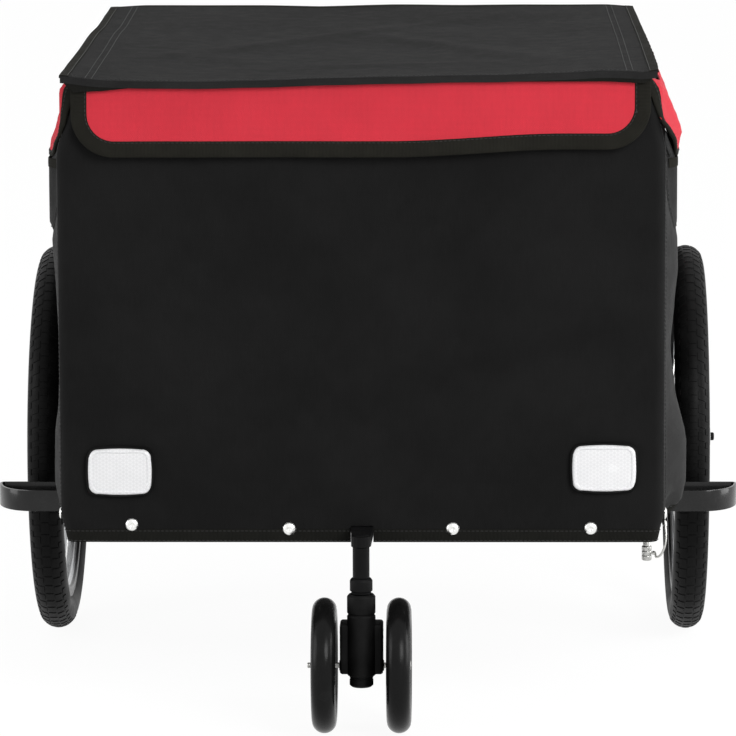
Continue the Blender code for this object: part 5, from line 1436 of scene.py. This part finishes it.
armLow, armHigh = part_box("caster_arm")
stemLow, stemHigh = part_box("caster_stem")
collarLow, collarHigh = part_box("caster_collar")
housingLow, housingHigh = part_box("caster_housing")
capLow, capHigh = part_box("caster_cap")
boltLow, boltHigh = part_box("caster_axle_bolt")
nutLow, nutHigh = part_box("caster_axle_nut")
tubeLow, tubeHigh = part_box("base_front_tube")
stemAxis, upward = (0.0, stemAt.y, 0.0), (0, 0, 1)
boltAt = Vector((0.0, casterAt.y, casterAt.z))
caster = {
    "radius": casterAt.z, "width": 0.0234, "seat": 0.0443, "rim": 0.044, "hubHalf": 0.0112, "core": 0.012,
    "coreHalf": 0.008, "dish": 0.005, "rimThick": 0.006, "axle": 0.0027, "bore": 0.0053, "stem": 0.008,
    "neck": 0.005, "weld": 0.0088, "hex": 0.0055, "washer": 0.0006, "blockTop": 0.1071, "blockLow": 0.0587,
    "blockNose": 0.004, "caseRadius": 0.0135, "ribs": 8, "facets": 96, "threadPitch": 0.0008,
}


def softBlock(low, high, radius, steps):  # a box with rounded edges, between any two opposite corners
    builder = bmesh.new()
    bmesh.ops.create_cube(builder, size=1.0)
    for vert in builder.verts:
        vert.co = Vector([min(a, b) + abs(b - a) * (share + 0.5) for a, b, share in zip(low, high, vert.co)])
    bmesh.ops.bevel(builder, geom=list(builder.edges), offset=radius, segments=steps, profile=0.5,
                    affect="EDGES")
    return builder


def buildArmWeld():  # bead where the arm meets the front tube
    around = (tubeHigh.z - tubeLow.z) / 2
    angles = [math.radians(turn) for turn in (0, 20, 38)]
    half = [(tubeLow.y + around - around * math.cos(angle), tubeLow.z + around - around * math.sin(angle))
            for angle in angles]
    bead = [(-armHigh.x, y, z) for y, z in reversed(half)] + [(armHigh.x, y, z) for y, z in half]
    hold(tube("nose_weld", bead, 0.0013, "powder", 6), "chassis", "frame_paint")


def buildStem():
    stem, neck, weld, bore = caster["stem"], caster["neck"], caster["weld"], caster["bore"]
    arm, top, collar = armHigh.z + gap, stemHigh.z, collarHigh.z + gap
    outline = [(0.0, stemLow.z), (neck, stemLow.z), (neck, collar), (stem, collar), (stem, arm), (weld, arm),
               (weld * 0.8, top), (0.0, top)]
    shaft = lathe("shaft", outline, stemAxis, upward, 40, "powder", 0.0004)
    ring = [(stem - 0.0005, armLow.z - 0.0012), (weld, armLow.z - gap), (stem - 0.0005, armLow.z - gap)]
    bead = lathe("bead", ring, stemAxis, upward, 40, "powder")
    hold(joined("swivel_stem", [shaft, bead]), "chassis", "frame_paint", "caster_stem")
    low, high, radius = collarLow.z, collarHigh.z, collarHigh.x
    outline = [(bore, low), (radius - 0.0014, low), (radius - 0.0014, low + 0.0022), (radius, low + 0.0030),
               (radius, high - 0.0022), (radius - 0.0016, high), (bore, high)]
    hold(lathe("stem_collar", outline, stemAxis, upward, 48, "powder", 0.0005), "chassis", "frame_paint",
         "caster_collar")
    low, high, radius = capLow.z, capHigh.z, capHigh.x
    outline = [(0.0, low), (0.0022, low), (0.0026, low + 0.0008), (0.0038, low + 0.0008), (0.0042, low),
               (radius * 0.82, low), (radius, low + 0.0018), (radius, high - 0.0035),
               (radius - 0.0007, high - 0.0030), (radius - 0.0007, high - 0.0022), (radius, high - 0.0017),
               (radius, high), (bore, high), (bore, stemLow.z - gap), (0.0, stemLow.z - gap)]
    hold(lathe("bottom_cap", outline, stemAxis, upward, 48, "powder", 0.0003), "chassis", "frame_paint",
         "caster_cap")


def buildHousing():
    top, radius, bore, block = housingHigh.z, caster["caseRadius"], caster["bore"], caster["blockTop"]
    outline = [(bore, housingLow.z), (radius - 0.0008, housingLow.z), (radius, housingLow.z + 0.0008),
               (radius, block + 0.008), (radius - 0.0009, block + 0.0088), (radius - 0.0009, block + 0.0104),
               (radius, block + 0.0112), (radius, top - 0.0022), (radius - 0.0018, top),
               (radius - 0.0040, top), (radius - 0.0044, top - 0.0007), (bore, top - 0.0007)]
    pieces = [lathe("case", outline, stemAxis, upward, 64, "plastic", 0.0003)]
    front, rear, low, wide = stemAt.y - caster["blockNose"], housingHigh.y, caster["blockLow"], housingHigh.x
    hole = caster["axle"] + 0.0004
    ring = [(hole, wide - 0.001), (0.0055, wide - 0.001), (0.0050, wide + 0.0008), (hole, wide + 0.0008)]
    # the web behind the stem's bore; the wings and ribs stand on both sides of it
    blocks = [((-bore * 1.3, stemAt.y + bore * 1.25, low + 0.0006),
               (bore * 1.3, rear - 0.0006, block - 0.0006), 0.0012, 2)]
    for side in (-1, 1):
        blocks.append(((side * bore * 1.25, front, low), (side * wide, rear, block), 0.0026, 4))
        for height in (block - 0.010, block - 0.017):
            blocks.append(((side * (wide - 0.0010), front + 0.006, height),
                           (side * (wide + 0.0002), rear - 0.006, height + 0.0022), 0.0004, 2))
        pieces.append(lathe("boss", ring, boltAt, (side, 0, 0), 32, "plastic", 0.0004))
    pieces += [newPiece("block", softBlock(*block), "plastic") for block in blocks]
    hold(joined("swivel_housing", pieces), "caster_fork", "black_plastic", "caster_housing")


def hexPiece(low, high, bore, side):  # hexagon with a chamfered outer face
    size = caster["hex"]
    builder = bmesh.new()
    rings = []
    outline = ((bore, low), (size, low), (size, high - 0.0006), (size - 0.0009, high), (bore, high))
    for radius, place in outline:
        rings.append([builder.verts.new(boltAt + Vector((side * place, radius * math.cos(math.pi / 3 * step),
                                                         radius * math.sin(math.pi / 3 * step))))
                      for step in range(6)])
    skin(builder, rings, closed=True)
    return newPiece("hexagon", outward(builder), "zinc", 20)


def buildCasterBolt():  # the head lies in the left hub's dish, the thread stands out on the right
    seatFace, tip, across, pitch = -nutHigh.x, -boltLow.x, caster["axle"], caster["threadPitch"]
    raised = seatFace + caster["washer"]
    thread = []
    for step in range(int((tip - seatFace - pitch) / pitch)):
        thread += [(across, raised + pitch * step), (across - 0.0003, raised + pitch * (step + 0.5))]
    shank = [(0.0, -seatFace), (across, -seatFace)] + thread + [(across - 0.0006, tip), (0.0, tip)]
    hole = across + 0.0003
    ring = [(hole, seatFace), (0.0063, seatFace), (0.0063, raised), (hole, raised)]
    bolt = [lathe("shank", shank, boltAt, (-1, 0, 0), 24, "zinc"), hexPiece(raised, boltHigh.x, 0.0001, 1),
            lathe("washer", ring, boltAt, alongX, 28, "zinc")]
    nut = [hexPiece(raised, -nutLow.x, hole, -1), lathe("washer", ring, boltAt, (-1, 0, 0), 28, "zinc")]
    hold(joined("wheel_bolt", bolt), "caster_fork", "zinc_plate", "caster_axle_bolt")
    hold(joined("wheel_nut", nut), "caster_fork", "zinc_plate", "caster_axle_nut")


def buildCasterWheel(word):
    centre = joints[word + "_caster_spin"]
    half, steps = caster["width"] / 2, 36
    crown = caster["radius"] - half
    outline = []
    for step in range(steps + 1):
        degrees = -118 + 236 * step / steps
        size = half - 0.00035 * sum(math.exp(-((degrees - groove) / 4) ** 2) for groove in (80, -80))
        angle = math.radians(degrees)
        outline.append((crown + size * math.cos(angle), size * math.sin(angle)))
    outline += [(caster["seat"], 0.0082), (caster["seat"], -0.0082)]
    hold(lathe(word + "_nose_tyre", outline, centre, alongX, caster["facets"], "casterTyre"),
         word + "_caster_wheel", "caster_rubber", word + "_caster_tyre")
    rim, core, hole = caster["rim"], caster["core"], caster["axle"] + 0.0003
    width, dished = caster["hubHalf"] - 0.002, caster["hubHalf"] - caster["dish"]
    rimLow = rim - caster["rimThick"]
    side = [(rim, width), (rimLow + 0.001, width), (rimLow, dished - 0.0015), (core, dished),
            (core - 0.002, caster["coreHalf"]), (hole, caster["coreHalf"])]
    disc = lathe("disc", mirrored(side), centre, alongX, 64, "plastic", 0.0006)
    rib = softBlock((-width - 0.0002, core - 0.001, -0.0013),
                    (width + 0.0002, rimLow + 0.001, 0.0013), 0.0006, 1)
    ribs = ringOf("ribs", rib, caster["ribs"], centre, "plastic")
    hold(joined(word + "_nose_hub", [disc, ribs]), word + "_caster_wheel", "black_plastic",
         word + "_caster_hub")


buildArmWeld()
buildStem()
buildHousing()
buildCasterBolt()
for word in sides:
    buildCasterWheel(word)
print("caster built")


# Lock pin and its wire

pinLow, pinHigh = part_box("lock_pin")
pinAt = (pinLow + pinHigh) / 2
pin = {"radius": 0.0037, "head": pinHigh.x - pinAt.x, "headLong": 0.0145, "wire": 0.0011, "ferrule": 0.0019}


def buildPin():
    low, top, head, radius, tip = pinLow.z, pinLow.z + pin["headLong"], pin["head"], pin["radius"], pinHigh.z
    outline = [(0.0, low), (head - 0.0010, low), (head, low + 0.0010), (head, low + 0.0045),
               (head - 0.0006, low + 0.0050), (head, low + 0.0055), (head, low + 0.0090),
               (head - 0.0006, low + 0.0095), (head, low + 0.0100), (head, top - 0.0010),
               (head - 0.0010, top), (radius, top), (radius, tip - 0.0045), (radius - 0.0006, tip - 0.0040),
               (radius - 0.0006, tip - 0.0028), (radius, tip - 0.0023), (radius, tip - 0.0010),
               (radius - 0.0012, tip), (0.0, tip)]
    hold(lathe("tow_bar_pin", outline, (pinAt.x, pinAt.y, 0.0), upward, 32, "zinc", 0.0002), "lock_pin",
         "zinc_plate", "lock_pin")


def buildWire():
    outside, y, z = sideX + gap + pin["wire"], sideSnapAt.y, sideSnapLow.z
    headSide, headMiddle = pinAt.x + pin["head"] + gap, pinLow.z + pin["headLong"] / 2
    route = [
        (outside, y, z - gap), (outside + 0.0008, y - 0.001, z - 0.006),
        (outside + 0.0014, y - 0.004, z - 0.015), (outside + 0.0002, y - 0.006, z - 0.025),
        (outside - 0.0034, y - 0.004, z - 0.0335), (outside - 0.0075, y + 0.003, z - 0.0370),
        (headSide + 0.0030, pinAt.y - 0.001, headMiddle), (headSide, pinAt.y, headMiddle),
    ]
    line = through(route, 5)
    wire = tube("tether_wire", line, pin["wire"], "zinc", 10)
    for name, body, first, second in (("upper_crimp", "chassis", line[1], line[5]),
                                      ("lower_crimp", "lock_pin", line[-2], line[-6])):
        hold(tube(name, [first, second], pin["ferrule"], "zinc", 12), body, "zinc_plate")
    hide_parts("pin_tether")
    lengths(line)[-1]
    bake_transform(wire)


buildPin()
buildWire()
print("lock pin and wire fitted")


# Snaps and reflectors

stud = {"radius": 0.0065, "height": 0.0035, "dimple": 0.0019}
plate = {"width": 0.061, "height": 0.045, "bulge": 0.002, "corner": 0.009, "thick": 0.006, "frame": 0.0022}


def buildSnap(name, nodeName, facing):
    low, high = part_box(nodeName)
    way = Vector(facing)
    base = (low + high) / 2 - way * abs((high - low).dot(way)) / 2
    radius, height, dimple = stud["radius"], stud["height"], stud["dimple"]
    outline = [(0.0, 0.0), (radius - 0.0003, 0.0), (radius, 0.0004), (radius - 0.0002, 0.0010),
               (radius * 0.84, height * 0.62), (radius * 0.62, height * 0.90), (radius * 0.45, height),
               (dimple + 0.0004, height), (dimple, height - 0.0003), (dimple * 0.7, height - 0.0011),
               (0.0, height - 0.0013)]
    hold(lathe(name, outline, base, way, 32, "nickel", 0.00025, 45), "chassis", "snap_metal", nodeName)


def plateOutline(grow, arcSteps=8, sideSteps=10):  # a rounded rectangle whose sides swell
    corner, bulge = plate["corner"], plate["bulge"]
    points = []
    for quarter in range(4):
        wide, tall = plate["width"] / 2, plate["height"] / 2
        if quarter % 2:
            wide, tall = tall, wide
        turn = math.pi / 2 * quarter
        swell = bulge * (1 - ((tall - corner) / tall) ** 2)
        for step in range(sideSteps):
            place = (tall - corner) * (2 * step / sideSteps - 1)
            points.append((turn, wide - bulge * (place / tall) ** 2, place))
        for step in range(arcSteps):
            angle = math.pi / 2 * step / arcSteps
            points.append((turn, wide - bulge + swell - corner * (1 - math.cos(angle)),
                           tall - corner + (corner - bulge + swell) * math.sin(angle)))
    made = []
    for turn, wide, place in points:
        x = wide * math.cos(turn) - place * math.sin(turn)
        z = wide * math.sin(turn) + place * math.cos(turn)
        share = 1 + grow / math.hypot(x, z)
        made.append((x * share, z * share))
    return made


def layered(centre, back, outwardY, layers):  # the plate's outline at each (inset, depth), closed at the ends
    builder = bmesh.new()
    rings = [[builder.verts.new((centre.x + x, back + outwardY * depth, centre.z + z))
              for x, z in plateOutline(-inset)] for inset, depth in layers]
    skin(builder, rings, capped=True)
    return outward(builder)


def buildReflector(end, word, outwardY, look, slot):
    nodeName = f"{end}_{word}_reflector"
    low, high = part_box(nodeName)
    centre, back = (low + high) / 2, low.y if outwardY > 0 else high.y
    thick, rim = plate["thick"], plate["frame"]
    tray = layered(centre, back, outwardY, [(-rim, 0.0), (-rim, 0.0030), (-rim + 0.0006, 0.0040),
                                            (-0.0002, 0.0040), (0.0006, 0.0030)])
    hold(newPiece(nodeName + "_tray", tray, "plastic"), "chassis", "black_plastic")
    layers = [(0.0006, 0.0012), (0.0, 0.0030), (0.0003, thick - 0.0016), (0.0014, thick - 0.0004),
              (0.0028, thick), (0.0040, thick - 0.0003), (0.0046, thick - 0.0010), (0.012, thick - 0.0008)]
    glass = layered(centre, back, outwardY, layers)
    hold(newPiece(nodeName + "_lens", glass, look), "chassis", slot, nodeName)


for number in range(1, 5):
    buildSnap(f"hem_stud_{number}", f"front_snap_{number}", (0.0, -1.0, 0.0))
for word in sides:
    buildSnap(word + "_side_stud", word + "_side_snap", (sides[word], 0.0, 0.0))
for word in sides:
    buildReflector("front", word, -1, "whiteLens", "white_lens")
    buildReflector("rear", word, 1, "redLens", "red_lens")
print("snaps and reflectors fitted")


# Frame inside the cloth: the CAD nodes keep their shape and get their finish

powdered = ["caster_arm", "base_front_tube", "base_rear_tube", "axle_beam", "front_roof_bar", "rear_roof_bar"]
powdered += [word + part for word in sides for part in ("_base_rail", "_side_hoop", "_axle_boss")]
for name in powdered + ["floor_board"]:
    node = frame["nodes"][name]
    if not node.material_slots:
        node.data.materials.append(None)
    for materialSlot in node.material_slots:
        materialSlot.material = looks["board" if name == "floor_board" else "powder"]
